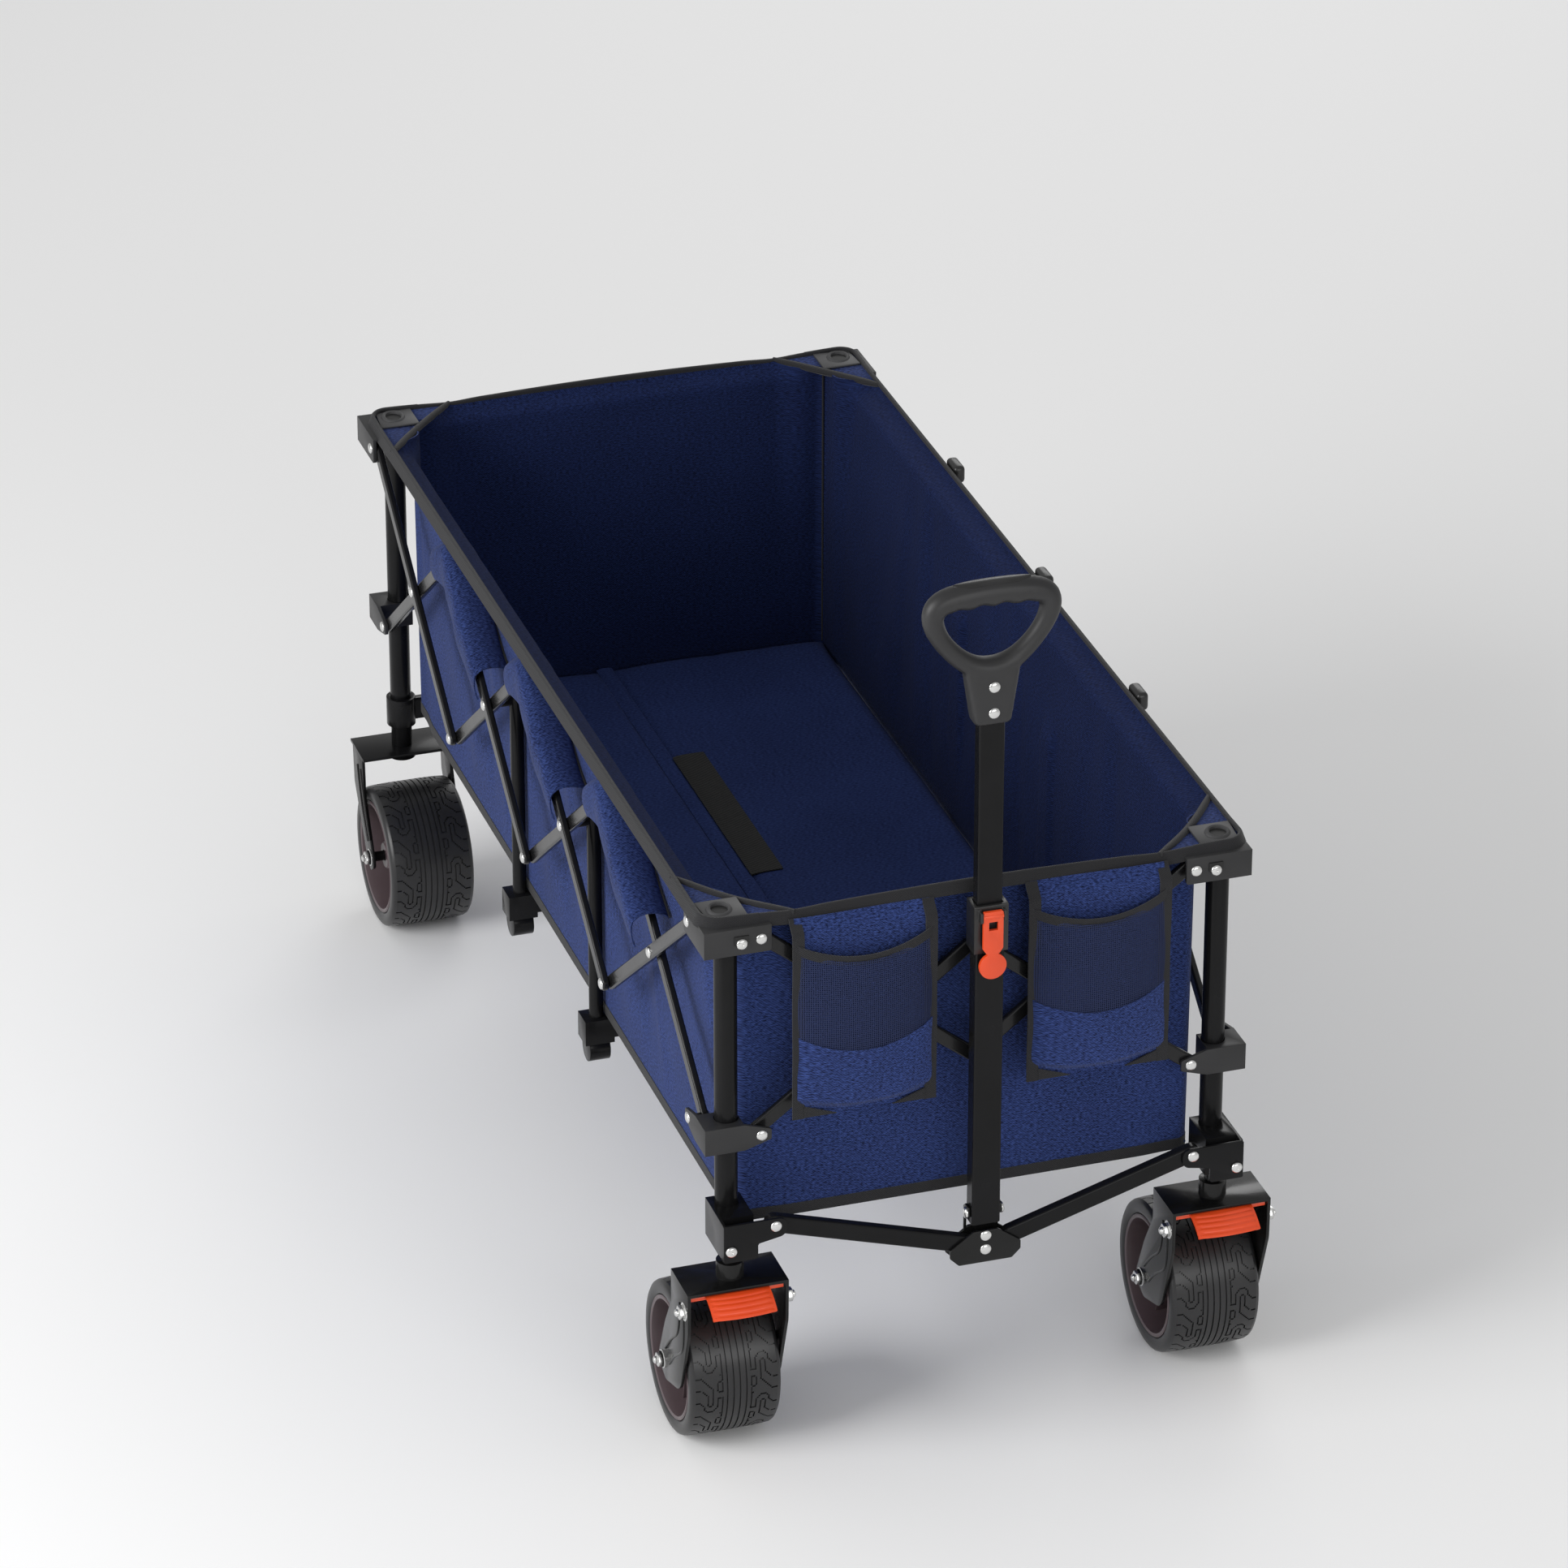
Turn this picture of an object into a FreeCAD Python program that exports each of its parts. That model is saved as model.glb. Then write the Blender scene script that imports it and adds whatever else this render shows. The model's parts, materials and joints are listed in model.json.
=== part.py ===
"""Folding wagon with a pull handle: posts, scissor frame, casters, wheels, handle and fabric body.

Millimetres. The origin is on the ground under the middle of the wagon, +Z is up, the pull handle
is at the -Y end, and +X is the right-hand side of somebody who looks from the handle to the back.
"""
import FreeCAD
import Part
import math
import os

from FreeCAD import Placement, Rotation, Vector

SIZES = [
    # frame
    ("track_width", 550, "left to right, between post axes"),
    ("wheel_base", 1304, "front to back, between post axes"),
    ("origin_shift", 14.94, "the posts' middle stands this far behind the middle of the whole"),
    ("rim_height", 643, "underside of the fabric rim"),
    ("top_pin_height", 627, "upper scissor pins"),
    ("pin_drop", 237, "upper pins down to the slider pins"),
    ("side_pin_inset", 38, "side pins, behind the post axis"),
    ("front_pin_inset", 33, "front pins, inboard of the post axis"),
    ("post_diameter", 25, ""),
    ("bar_width", 16, ""),
    ("bar_thickness", 8, ""),
    ("bar_edge", 2.5, "rounding of a bar's long edges"),
    ("layer_gap", 0.5, "between two bars on one pin"),
    ("pin_diameter", 6, ""),
    ("pin_clearance", 0.3, "radial"),
    ("head_diameter", 10, "flat core of a rivet head"),
    ("head_height", 1.2, ""),
    ("side_stack_start", 9, "post axis out to the innermost side bar"),
    ("front_stack_start", 1.5, "post axis out to the rear-most front bar"),
    ("cheek_thickness", 4, "bracket walls"),
    ("cheek_gap", 0.5, "bar to bracket wall"),
    ("bracket_height", 31, ""),
    ("ear_reach", 11, "bracket wall past a pin"),
    ("core_half", 14, "bracket block about the post"),
    ("slide_clearance", 0.5, "slider bore on the post"),
    ("roof_thickness", 3, "top of a corner bracket"),
    # lower brackets and V links
    ("lower_bracket_base", 258, ""),
    ("lower_bracket_top", 303, ""),
    ("link_plane", 43, "post axis out to the middle of the V links"),
    ("link_pin_inset", 39, "V link pin, inboard of the post axis"),
    ("link_pin_height", 294, ""),
    ("link_height", 20, ""),
    ("link_depth", 12, ""),
    ("hub_pin_height", 222, ""),
    ("hub_plate", 3, ""),
    ("open_pivot_gap", 22, "end of the right V link, short of the hub pin"),
    # wheels and forks
    ("wheel_diameter", 174, ""),
    ("wheel_width", 102, ""),
    ("rim_diameter", 138, ""),
    ("axle_diameter", 12, ""),
    ("axle_clearance", 0.3, "radial"),
    ("nut_reach", 9, "axle nut, middle to corner"),
    ("rim_barrel", 6, "wall under the tyre"),
    ("hub_wall", 12, ""),
    ("rim_web", 6, "half the rim's thickness between its two dishes"),
    ("fork_gap", 2, "wheel to fork leg"),
    ("fork_sheet", 3.5, ""),
    ("fork_depth", 61, ""),
    ("front_plate_height", 219, ""),
    ("rear_plate_height", 210, ""),
    ("swivel_offset", 12, "caster axis in front of the post axis"),
    ("axle_station", 602, "axle from the middle of the wagon"),
    ("stem_diameter", 18, ""),
    # handle
    ("handle_width", 32, ""),
    ("handle_depth", 20, ""),
    ("handle_wall", 1.5, ""),
    ("tube_clearance", 0.4, "inner tube in the outer one"),
    ("handle_pivot_height", 266, ""),
    ("collar_base", 587, ""),
    ("collar_top", 643, ""),
    ("upper_tube_end", 478, "lower end of the inner tube"),
    ("grip_base", 854, ""),
    ("grip_width", 161, ""),
    ("grip_top", 1014, ""),
    ("grip_depth", 26, ""),
    ("grip_bar", 27, ""),
    # middle posts
    ("mid_post_diameter", 16, ""),
    ("mid_post_inset", 5, "middle post inboard of the corner posts"),
    ("mid_block_top", 262, ""),
    ("mid_block_height", 30, ""),
    ("foot_base", 206, ""),
    # fabric
    ("body_side_inset", 15, "side wall inboard of the post axis"),
    ("body_end_inset", 16, "end wall inboard of the post axis"),
    ("fabric", 3, ""),
    ("body_base", 268, ""),
    ("rim_side_overhang", 30, "rim outside the post axis, left and right"),
    ("rim_end_overhang", 15, "rim outside the post axis, front and back"),
    ("mat_thickness", 12, ""),
    ("soft_gap", 0.5, ""),
    ("pocket_inner", 56, ""),
    ("pocket_outer", 206, ""),
    ("pocket_base", 408, ""),
    ("pocket_depth", 22, ""),
]

doc = FreeCAD.newDocument("wagon")
sheet = doc.addObject("Spreadsheet::Sheet", "Dims")
for row, (alias, value, note) in enumerate(SIZES, start=1):
    sheet.set(f"A{row}", alias)
    sheet.set(f"B{row}", str(value))
    sheet.setAlias(f"B{row}", alias)
    sheet.set(f"C{row}", note)
doc.recompute()


def size(alias):
    return float(sheet.get(alias))


HALF_X = size("track_width") / 2
HALF_Y = size("wheel_base") / 2
TOP_Z = size("top_pin_height")
SLIDE_Z = TOP_Z - size("pin_drop")
CROSS_Z = TOP_Z - size("pin_drop") / 2
CELLS = 4
SIDE_SPAN = size("wheel_base") - 2 * size("side_pin_inset")
HALF_CELL = SIDE_SPAN / CELLS / 2
HALF_LINK = math.hypot(HALF_CELL, size("pin_drop") / 2)
LINK_ANGLE = math.atan2(size("pin_drop") / 2, HALF_CELL)
FRONT_PIN_X = HALF_X - size("front_pin_inset")
INNER_X = FRONT_PIN_X - HALF_CELL
INNER_DROP = INNER_X * math.tan(LINK_ANGLE)
HIGH_CENTRE_Z = CROSS_Z + INNER_DROP
LOW_CENTRE_Z = CROSS_Z - INNER_DROP
SIDES = {"left": -1, "right": 1}
ENDS = {"front": -1, "rear": 1}
EXTRA_COVER = 0.01

nodes = {}


# ---- building blocks ----------------------------------------------------------------------

SIDE_PLANE = Rotation(Vector(0, 1, 0), Vector(0, 0, 1), Vector(1, 0, 0), "ZXY")
FRONT_PLANE = Rotation(Vector(1, 0, 0), Vector(0, 0, 1), Vector(0, -1, 0), "ZXY")
TO_X = Rotation(Vector(0, 1, 0), 90)
TO_Y = Rotation(Vector(1, 0, 0), -90)
TO_Z = Rotation()


def bind(thing, prop, formula):
    """Ties a property to the sheet: every alias in the formula gets the sheet's name."""
    words = formula.replace("(", " ( ").replace(")", " ) ").split()
    aliases = {alias for alias, _, _ in SIZES}
    thing.setExpression(prop, " ".join(f"Dims.{w}" if w in aliases else w for w in words))


def corner_geometry(points, radii):
    """Lines and tangent arcs of a closed outline whose corners have these radii."""
    count = len(points)
    starts, ends, arcs = [], [], []
    for i, (x, y) in enumerate(points):
        here = Vector(x, y, 0)
        before = Vector(*points[i - 1], 0) - here
        after = Vector(*points[(i + 1) % count], 0) - here
        radius = radii[i] if isinstance(radii, (list, tuple)) else radii
        opening = before.getAngle(after)
        if radius <= 0 or abs(opening - math.pi) < 1e-6:
            starts.append(here)
            ends.append(here)
            arcs.append(None)
            continue
        run = radius / math.tan(opening / 2)
        before.normalize()
        after.normalize()
        first = here + before * run
        last = here + after * run
        middle = before + after
        middle.normalize()
        crown = here + middle * (radius / math.sin(opening / 2) - radius)
        starts.append(first)
        ends.append(last)
        arcs.append(Part.Arc(first, crown, last))
    shapes = []
    for i in range(count):
        if arcs[i]:
            shapes.append(arcs[i])
        following = (i + 1) % count
        if (starts[following] - ends[i]).Length > 1e-4:
            shapes.append(Part.LineSegment(ends[i], starts[following]))
    return shapes


def sketch_on(body, plane, shapes):
    sketch = body.newObject("Sketcher::SketchObject", "Sketch")
    origin_plane = [f for f in body.Origin.OriginFeatures if f.Role == plane][0]
    sketch.AttachmentSupport = (origin_plane, [""])
    sketch.MapMode = "FlatFace"
    for shape in shapes:
        sketch.addGeometry(shape, False)
    return sketch


def plate(label, outline, thickness, plane, start, radii=0, holes=(), edge=None):
    """A padded outline. start is where its first face lies on the plane's normal."""
    body = doc.addObject("PartDesign::Body", "Body")
    body.Label = label
    shapes = corner_geometry(outline, radii)
    for x, y, radius in holes:
        shapes.append(Part.Circle(Vector(x, y, 0), Vector(0, 0, 1), radius))
    sketch = sketch_on(body, "XY_Plane", shapes)
    pad = body.newObject("PartDesign::Pad", "Pad")
    pad.Profile = sketch
    bind(pad, "Length", thickness)
    body.Tip = pad
    if edge:
        doc.recompute()
        edges = [
            f"Edge{i}" for i, e in enumerate(pad.Shape.Edges, start=1)
            if e.BoundBox.ZLength < 1e-6 and not e.isClosed()
        ]
        fillet = body.newObject("PartDesign::Fillet", "Fillet")
        fillet.Base = (pad, edges)
        bind(fillet, "Radius", edge)
        body.Tip = fillet
    normal = plane.multVec(Vector(0, 0, 1))
    body.Placement = Placement(Vector(abs(normal.x), abs(normal.y), abs(normal.z)) * start, plane)
    return body


def turned(label, profile, centre, turn):
    """A profile of (radius, station) points spun about its own axis."""
    body = doc.addObject("PartDesign::Body", "Body")
    body.Label = label
    sketch = sketch_on(body, "XZ_Plane", corner_geometry(profile, 0))
    spin = body.newObject("PartDesign::Revolution", "Revolution")
    spin.Profile = sketch
    spin.ReferenceAxis = (sketch, ["V_Axis"])
    spin.Angle = 360
    body.Tip = spin
    body.Placement = Placement(Vector(*centre), turn)
    return body


def rod(label, radius, length, centre, turn):
    """A cylinder about its middle, bound to the sheet."""
    thing = doc.addObject("Part::Cylinder", "Cylinder")
    thing.Label = label
    bind(thing, "Radius", radius)
    bind(thing, "Height", length)
    doc.recompute([thing])
    back = turn.multVec(Vector(0, 0, -thing.Height.Value / 2))
    thing.Placement = Placement(Vector(*centre) + back, turn)
    return thing


def upright(label, radius, x, y, z0, z1):
    """A vertical cylinder between two heights, its radius bound to the sheet."""
    thing = doc.addObject("Part::Cylinder", "Upright")
    thing.Label = label
    bind(thing, "Radius", radius)
    thing.Height = z1 - z0
    thing.Placement = Placement(Vector(x, y, z0), Rotation())
    return thing


def block(label, low, high):
    """A box between two corners, in any order."""
    thing = doc.addObject("Part::Box", "Box")
    thing.Label = label
    corner = [min(a, b) for a, b in zip(low, high)]
    for prop, a, b in zip(("Length", "Width", "Height"), low, high):
        setattr(thing, prop, abs(b - a))
    thing.Placement = Placement(Vector(*corner), Rotation())
    return thing


def fuse(label, things):
    if len(things) == 1:
        return things[0]
    joined = doc.addObject("Part::MultiFuse", "Fusion")
    joined.Label = label
    joined.Shapes = things
    joined.Refine = True
    return joined


def cut(label, base, tools):
    piece = doc.addObject("Part::Cut", "Cut")
    piece.Label = label
    piece.Base = base
    piece.Tool = fuse(label + "_tools", tools)
    piece.Refine = True
    return piece


def node(label, things):
    """Names the solid, or the group of separate solids, that one file holds, and centres it."""
    if len(things) == 1:
        piece = things[0]
    else:
        piece = doc.addObject("Part::Compound", "Group")
        piece.Links = things
    piece.Label = label
    shift = Placement(Vector(0, size("origin_shift"), 0), Rotation())
    piece.Placement = shift.multiply(piece.Placement)
    nodes[label] = piece


def rivet(label, axis_turn, centre, low, high, flat_low=True, flat_high=True):
    """A pin with low heads between two stations along X or Y."""
    along_x = axis_turn is TO_X
    shank = doc.addObject("Part::Cylinder", "Shank")
    shank.Label = label
    bind(shank, "Radius", "pin_diameter / 2")
    shank.Height = high - low
    start = Vector(low, centre[1], centre[2]) if along_x else Vector(centre[0], low, centre[2])
    shank.Placement = Placement(start, axis_turn)
    parts = [shank]
    for wanted, station, side in ((flat_low, low, -1), (flat_high, high, 1)):
        if not wanted:
            continue
        head = doc.addObject("Part::Cylinder", "Head")
        bind(head, "Radius", "head_diameter / 2")
        bind(head, "Height", "head_height")
        first = station if side > 0 else station - size("head_height")
        place = Vector(first, centre[1], centre[2]) if along_x else Vector(centre[0], first, centre[2])
        head.Placement = Placement(place, axis_turn)
        parts.append(head)
    return fuse(label, parts)


HOLE = size("pin_diameter") / 2 + size("pin_clearance")


def bar(label, plane, start, ends, pins, width="bar_width", thickness="bar_thickness"):
    """A flat bar with round ends between two points of its plane, drilled at the given points."""
    (x0, y0), (x1, y1) = ends
    length = math.hypot(x1 - x0, y1 - y0)
    along = ((x1 - x0) / length, (y1 - y0) / length)
    across = (-along[1], along[0])
    half = size(width) / 2 - EXTRA_COVER

    def corner(base, back, aside):
        return (
            base[0] + along[0] * back + across[0] * aside,
            base[1] + along[1] * back + across[1] * aside,
        )

    reach = size(width) / 2
    outline = [
        corner((x0, y0), -reach, -reach),
        corner((x1, y1), reach, -reach),
        corner((x1, y1), reach, reach),
        corner((x0, y0), -reach, reach),
    ]
    holes = [(x, y, HOLE) for x, y in pins]
    return plate(label, outline, thickness, plane, start, half, holes, "bar_edge")


# ---- scissor geometry ----------------------------------------------------------------------

def side_y(step):
    """Station of a side pin, in half cells from the front post's pins."""
    return -SIDE_SPAN / 2 + step * HALF_CELL


LAYER = size("bar_thickness") + size("layer_gap")


def side_layer(sign, index):
    """Lower X of a side bar in one of the three layers, counted from the post outwards."""
    inner = HALF_X + size("side_stack_start") + index * LAYER
    return inner if sign > 0 else -inner - size("bar_thickness")


def end_layer(sign, index):
    """Upper Y of an end bar in one of the two layers, counted from the post outwards."""
    inner = HALF_Y + size("front_stack_start") + index * LAYER
    return inner + size("bar_thickness") if sign > 0 else -inner


def side_span(sign, first, last):
    """Outer and inner X of the layers first..last as (low, high)."""
    low = HALF_X + size("side_stack_start") + first * LAYER
    high = HALF_X + size("side_stack_start") + last * LAYER + size("bar_thickness")
    return (low, high) if sign > 0 else (-high, -low)


def end_span(sign, first, last):
    low = HALF_Y + size("front_stack_start") + first * LAYER
    high = HALF_Y + size("front_stack_start") + last * LAYER + size("bar_thickness")
    return (low, high) if sign > 0 else (-high, -low)


def side_bars(side, sign):
    """Eight bars of one side: fall bars drop towards the back, rise bars climb."""
    for cell in range(CELLS):
        start, middle, end = side_y(2 * cell), side_y(2 * cell + 1), side_y(2 * cell + 2)
        fall_layer = 1
        rise_layer = 0 if cell == 0 else 2
        fall = bar(
            "fall", SIDE_PLANE, side_layer(sign, fall_layer),
            ((start, TOP_Z), (end, SLIDE_Z)), ((start, TOP_Z), (middle, CROSS_Z), (end, SLIDE_Z)),
        )
        rise = bar(
            "rise", SIDE_PLANE, side_layer(sign, rise_layer),
            ((start, SLIDE_Z), (end, TOP_Z)), ((start, SLIDE_Z), (middle, CROSS_Z), (end, TOP_Z)),
        )
        fall_parts, rise_parts = [fall], [rise]
        if cell == 0:
            low, high = side_span(sign, 0, 1)
            fall_parts.append(rivet("cross_pin", TO_X, (0, middle, CROSS_Z), low, high))
            rise_parts.append(rivet("high_pin", TO_X, (0, end, TOP_Z), low, high))
        if 0 < cell < CELLS - 1:
            low, high = side_span(sign, 1, 2)
            rise_parts.append(rivet("high_pin", TO_X, (0, end, TOP_Z), low, high))
        if cell == CELLS - 1:
            low, high = side_span(sign, 1, 2)
            rise_parts.append(rivet("cross_pin", TO_X, (0, middle, CROSS_Z), low, high))
        if cell > 0:
            low, high = side_span(sign, 1, 2)
            rise_parts.append(rivet("low_pin", TO_X, (0, start, SLIDE_Z), low, high))
        node(f"{side}_fall_bar_{cell + 1}", fall_parts)
        node(f"{side}_rise_bar_{cell + 1}", rise_parts)


def end_bars(end, sign):
    """Four bars across the front or the back: two crossing pairs that meet in the middle."""
    outer, inner = 1, 0
    plans = [
        ("fall_bar_1", outer, (-FRONT_PIN_X, TOP_Z), (-INNER_X, CROSS_Z), (0, LOW_CENTRE_Z)),
        ("rise_bar_1", inner, (-FRONT_PIN_X, SLIDE_Z), (-INNER_X, CROSS_Z), (0, HIGH_CENTRE_Z)),
        ("rise_bar_2", inner, (0, LOW_CENTRE_Z), (INNER_X, CROSS_Z), (FRONT_PIN_X, TOP_Z)),
        ("fall_bar_2", outer, (0, HIGH_CENTRE_Z), (INNER_X, CROSS_Z), (FRONT_PIN_X, SLIDE_Z)),
    ]
    low, high = end_span(sign, 0, 1)
    for name, layer, first, cross, last in plans:
        parts = [bar(name, FRONT_PLANE, end_layer(sign, layer), (first, last), (first, cross, last))]
        if layer == outer:
            parts.append(rivet("cross_pin", TO_Y, (cross[0], 0, cross[1]), low, high))
            middle = last if last[0] == 0 else first
            parts.append(rivet("middle_pin", TO_Y, (middle[0], 0, middle[1]), low, high))
        node(f"{end}_{name}", parts)


# ---- brackets on the posts -------------------------------------------------------------------

def side_out(layers):
    """Post axis out to the inside of a bracket's side wall that covers this many bar layers."""
    return size("side_stack_start") + layers * LAYER - size("layer_gap") + size("cheek_gap")


END_OUT = size("front_stack_start") + 2 * LAYER - size("layer_gap") + size("cheek_gap")
CHEEK = size("cheek_thickness")
CORE = size("core_half")


def corner_block(label, sx, sy, z0, z1, bore, roof, front_pin_start, side_pin_start, layers):
    """A plastic corner piece: a block on the post, a wall over each bar end and its rivets."""
    cx, cy = sx * HALF_X, sy * HALF_Y
    pin_z = (TOP_Z if roof else SLIDE_Z)
    pin_x = sx * FRONT_PIN_X
    pin_y = sy * (HALF_Y - size("side_pin_inset"))
    reach = size("ear_reach")
    tip = EXTRA_COVER if roof else (z1 - z0) * 0.3
    wall_x = side_out(layers)
    out_x = cx + sx * (wall_x + CHEEK)
    out_y = cy + sy * (END_OUT + CHEEK)
    core_far = (cx + sx * wall_x, cy + sy * END_OUT, z1)
    parts = [block("core", (cx - sx * CORE, cy - sy * CORE, z0), core_far)]
    front_outline = [
        (out_x, z0), (out_x, z1), (cx - sx * CORE, z1), (pin_x - sx * reach, z1 - tip),
        (pin_x - sx * reach, z0 + tip), (cx - sx * CORE, z0),
    ]
    side_outline = [
        (out_y, z0), (out_y, z1), (cy - sy * CORE, z1), (pin_y - sy * reach, z1 - tip),
        (pin_y - sy * reach, z0 + tip), (cy - sy * CORE, z0),
    ]
    rounding = [0, 0, 0, 3, 3, 0]
    front_start = cy + sy * END_OUT if sy < 0 else cy + sy * (END_OUT + CHEEK)
    side_start = cx + sx * wall_x if sx > 0 else cx + sx * (wall_x + CHEEK)
    for name, outline, plane, start in (
        ("front_wall", front_outline, FRONT_PLANE, front_start),
        ("side_wall", side_outline, SIDE_PLANE, side_start),
    ):
        parts.append(plate(name, outline, "cheek_thickness", plane, start, rounding))
    if roof:
        under = z1 - size("roof_thickness")
        parts.append(block("roof_end", (out_x, out_y, under), (pin_x - sx * reach, cy - sy * CORE, z1)))
        parts.append(block("roof_side", (out_x, out_y, under), (cx - sx * CORE, pin_y - sy * reach, z1)))
    solid = fuse(label + "_solid", parts)
    bore_height = z1 - z0 - (4 if roof else -2)
    hole = upright("bore", bore, cx, cy, z0 - 1, z0 - 1 + bore_height)
    pin_bores = []
    for turn, centre in ((TO_X, (out_x, pin_y, pin_z)), (TO_Y, (pin_x, out_y, pin_z))):
        pin_bores.append(rod("pin_hole", "pin_diameter / 2", "cheek_thickness * 3", centre, turn))
    solid = cut(label + "_bored", solid, [hole] + pin_bores)
    side_ends = sorted((cx + sx * side_pin_start, out_x))
    front_ends = sorted((cy + sy * front_pin_start, out_y))
    pins = [
        rivet("side_pin", TO_X, (0, pin_y, pin_z), *side_ends),
        rivet("end_pin", TO_Y, (pin_x, 0, pin_z), *front_ends),
    ]
    node(label, [solid] + pins)


def corner_brackets(end, sy, side, sx):
    """Fixed bracket on top of a post and the slider below it."""
    half = size("bracket_height") / 2
    end_start = size("front_stack_start")
    side_start = size("side_stack_start")
    at_front = end == "front"
    corner_block(
        f"{end}_{side}_top_bracket", sx, sy, TOP_Z - half, TOP_Z + half, "post_diameter / 2", True,
        end_start + (LAYER if sx < 0 else 0), side_start + (1 if at_front else 2) * LAYER,
        2 if at_front else 3,
    )
    corner_block(
        f"{end}_{side}_slider", sx, sy, SLIDE_Z - half, SLIDE_Z + half,
        "post_diameter / 2 + slide_clearance", False,
        end_start + (0 if sx < 0 else LAYER), side_start + (0 if at_front else 1) * LAYER, 2,
    )


def post_tube(label, sx, sy, base, top):
    return upright(label, "post_diameter / 2", sx * HALF_X, sy * HALF_Y, base, top)


def front_post(side, sx):
    """Post with the block that carries the caster and the V link."""
    cx, cy = sx * HALF_X, -HALF_Y
    base, top = size("lower_bracket_base"), size("lower_bracket_top")
    half, stem_depth, skin = 19, 26, size("hub_plate")
    stem_end = base + stem_depth
    tube = post_tube("tube", sx, -1, stem_end + 1, TOP_Z + size("bracket_height") / 2 - 5)
    back_face = cy - size("link_plane") + size("link_depth") / 2 + size("cheek_gap")
    front_face = cy - size("link_plane") - size("link_depth") / 2 - size("cheek_gap")
    pin_x = sx * (HALF_X - size("link_pin_inset"))
    pin_z = size("link_pin_height")
    inner_x, outer_x = cx - sx * half, cx + sx * half
    outline = [
        (outer_x, base), (outer_x, top), (pin_x - sx * 12, top), (pin_x - sx * 12, pin_z - 12),
        (inner_x, pin_z - 18), (inner_x, base),
    ]
    front_wall = plate("front_wall", outline, "hub_plate", FRONT_PLANE, front_face, [2, 2, 9, 9, 3, 3])
    body = block("body", (inner_x, back_face, base), (outer_x, cy + CORE, top))
    flange = block("flange", (outer_x, front_face, base), (outer_x - sx * skin, back_face, top))
    whole = fuse("bracket_solid", [body, flange, front_wall])
    pin_hole = rod("pin_hole", "pin_diameter / 2", "hub_plate * 4", (pin_x, front_face, pin_z), TO_Y)
    stem_hole = rod(
        "stem_hole", "stem_diameter / 2 + axle_clearance", "fork_depth",
        (cx, cy - size("swivel_offset"), stem_end - size("fork_depth") / 2), TO_Z,
    )
    bore = post_tube("bore", sx, -1, stem_end + 1, top + 1)
    whole = cut("lower_bracket", whole, [pin_hole, stem_hole, bore])
    pin_ends = (front_face - skin, back_face - size("cheek_gap"))
    pin = rivet("link_pin", TO_Y, (pin_x, 0, pin_z), *pin_ends, False)
    pin = fuse("link_rivet", [pin, rod(
        "front_head", "head_diameter / 2", "head_height",
        (pin_x, front_face - skin - size("head_height") / 2, pin_z), TO_Y,
    )])
    node(f"front_{side}_post", [tube, whole, pin])


# ---- wheels, forks and brakes ------------------------------------------------------------------

WHEEL_R = size("wheel_diameter") / 2
AXLE_R = size("axle_diameter") / 2
LEG_X = size("wheel_width") / 2 + size("fork_gap")
SHEET = size("fork_sheet")


def fork_legs(cx, outline, radii):
    """Two pressed legs, one on each side of the wheel."""
    legs = []
    for aside in (-1, 1):
        start = cx + LEG_X if aside > 0 else cx - LEG_X - SHEET
        legs.append(plate("leg", outline, "fork_sheet", SIDE_PLANE, start, radii))
    return legs


def axle_bolt(cx, y, z):
    """Axle through both legs with a hexagon head at one end and a nut at the other."""
    length = "wheel_width + 2 * fork_gap + 2 * fork_sheet"
    shaft = rod("axle", "axle_diameter / 2", length, (cx, y, z), TO_X)
    outer = LEG_X + SHEET
    reach = size("nut_reach")
    corners = [math.radians(60 * i) for i in range(6)]
    hexagon = [(y + reach * math.cos(turn), z + reach * math.sin(turn)) for turn in corners]
    parts = [shaft]
    for start in (cx + outer, cx - outer - SHEET):
        parts.append(plate("nut", hexagon, "fork_sheet", SIDE_PLANE, start))
    return fuse("axle_bolt", parts)


def front_fork(side, sx):
    """Caster fork: top plate, stem, two legs that sweep back to the axle, and the axle bolt."""
    cx, cy = sx * HALF_X, -HALF_Y - size("swivel_offset")
    top = size("front_plate_height")
    half = size("fork_depth") / 2
    axle_y = -size("axle_station")
    outline = [
        (cy - half, top - 6), (cy - half + 1, top - 50), (axle_y - 62, WHEEL_R - 4),
        (axle_y - 10, WHEEL_R - 20), (axle_y + 19, WHEEL_R - 8), (axle_y - 8, WHEEL_R + 52),
        (cy + half, top - 40), (cy + half, top - 6),
    ]
    legs = fork_legs(cx, outline, [4, 30, 26, 14, 15, 24, 14, 4])
    outer = LEG_X + SHEET
    deck = block("deck", (cx - outer, cy - half, top - SHEET), (cx + outer, cy + half, top))
    cheeks = [
        block("fold", (cx + a * LEG_X, cy - half, top - 12), (cx + a * outer, cy + half, top))
        for a in (-1, 1)
    ]
    bracket_base = size("lower_bracket_base")
    stem = upright("stem", "stem_diameter / 2", cx, cy, top, bracket_base + 25)
    collar = upright("collar", "stem_diameter / 2 + 6", cx, cy, top, bracket_base - 20)
    solid = fuse(f"front_{side}_fork_solid", legs + [deck, stem, collar] + cheeks)
    hole = rod("axle_hole", "axle_diameter / 2", "track_width", (cx, axle_y, WHEEL_R), TO_X)
    solid = cut(f"front_{side}_fork_cut", solid, [hole])
    node(f"front_{side}_fork", [solid, axle_bolt(cx, axle_y, WHEEL_R)])


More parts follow.
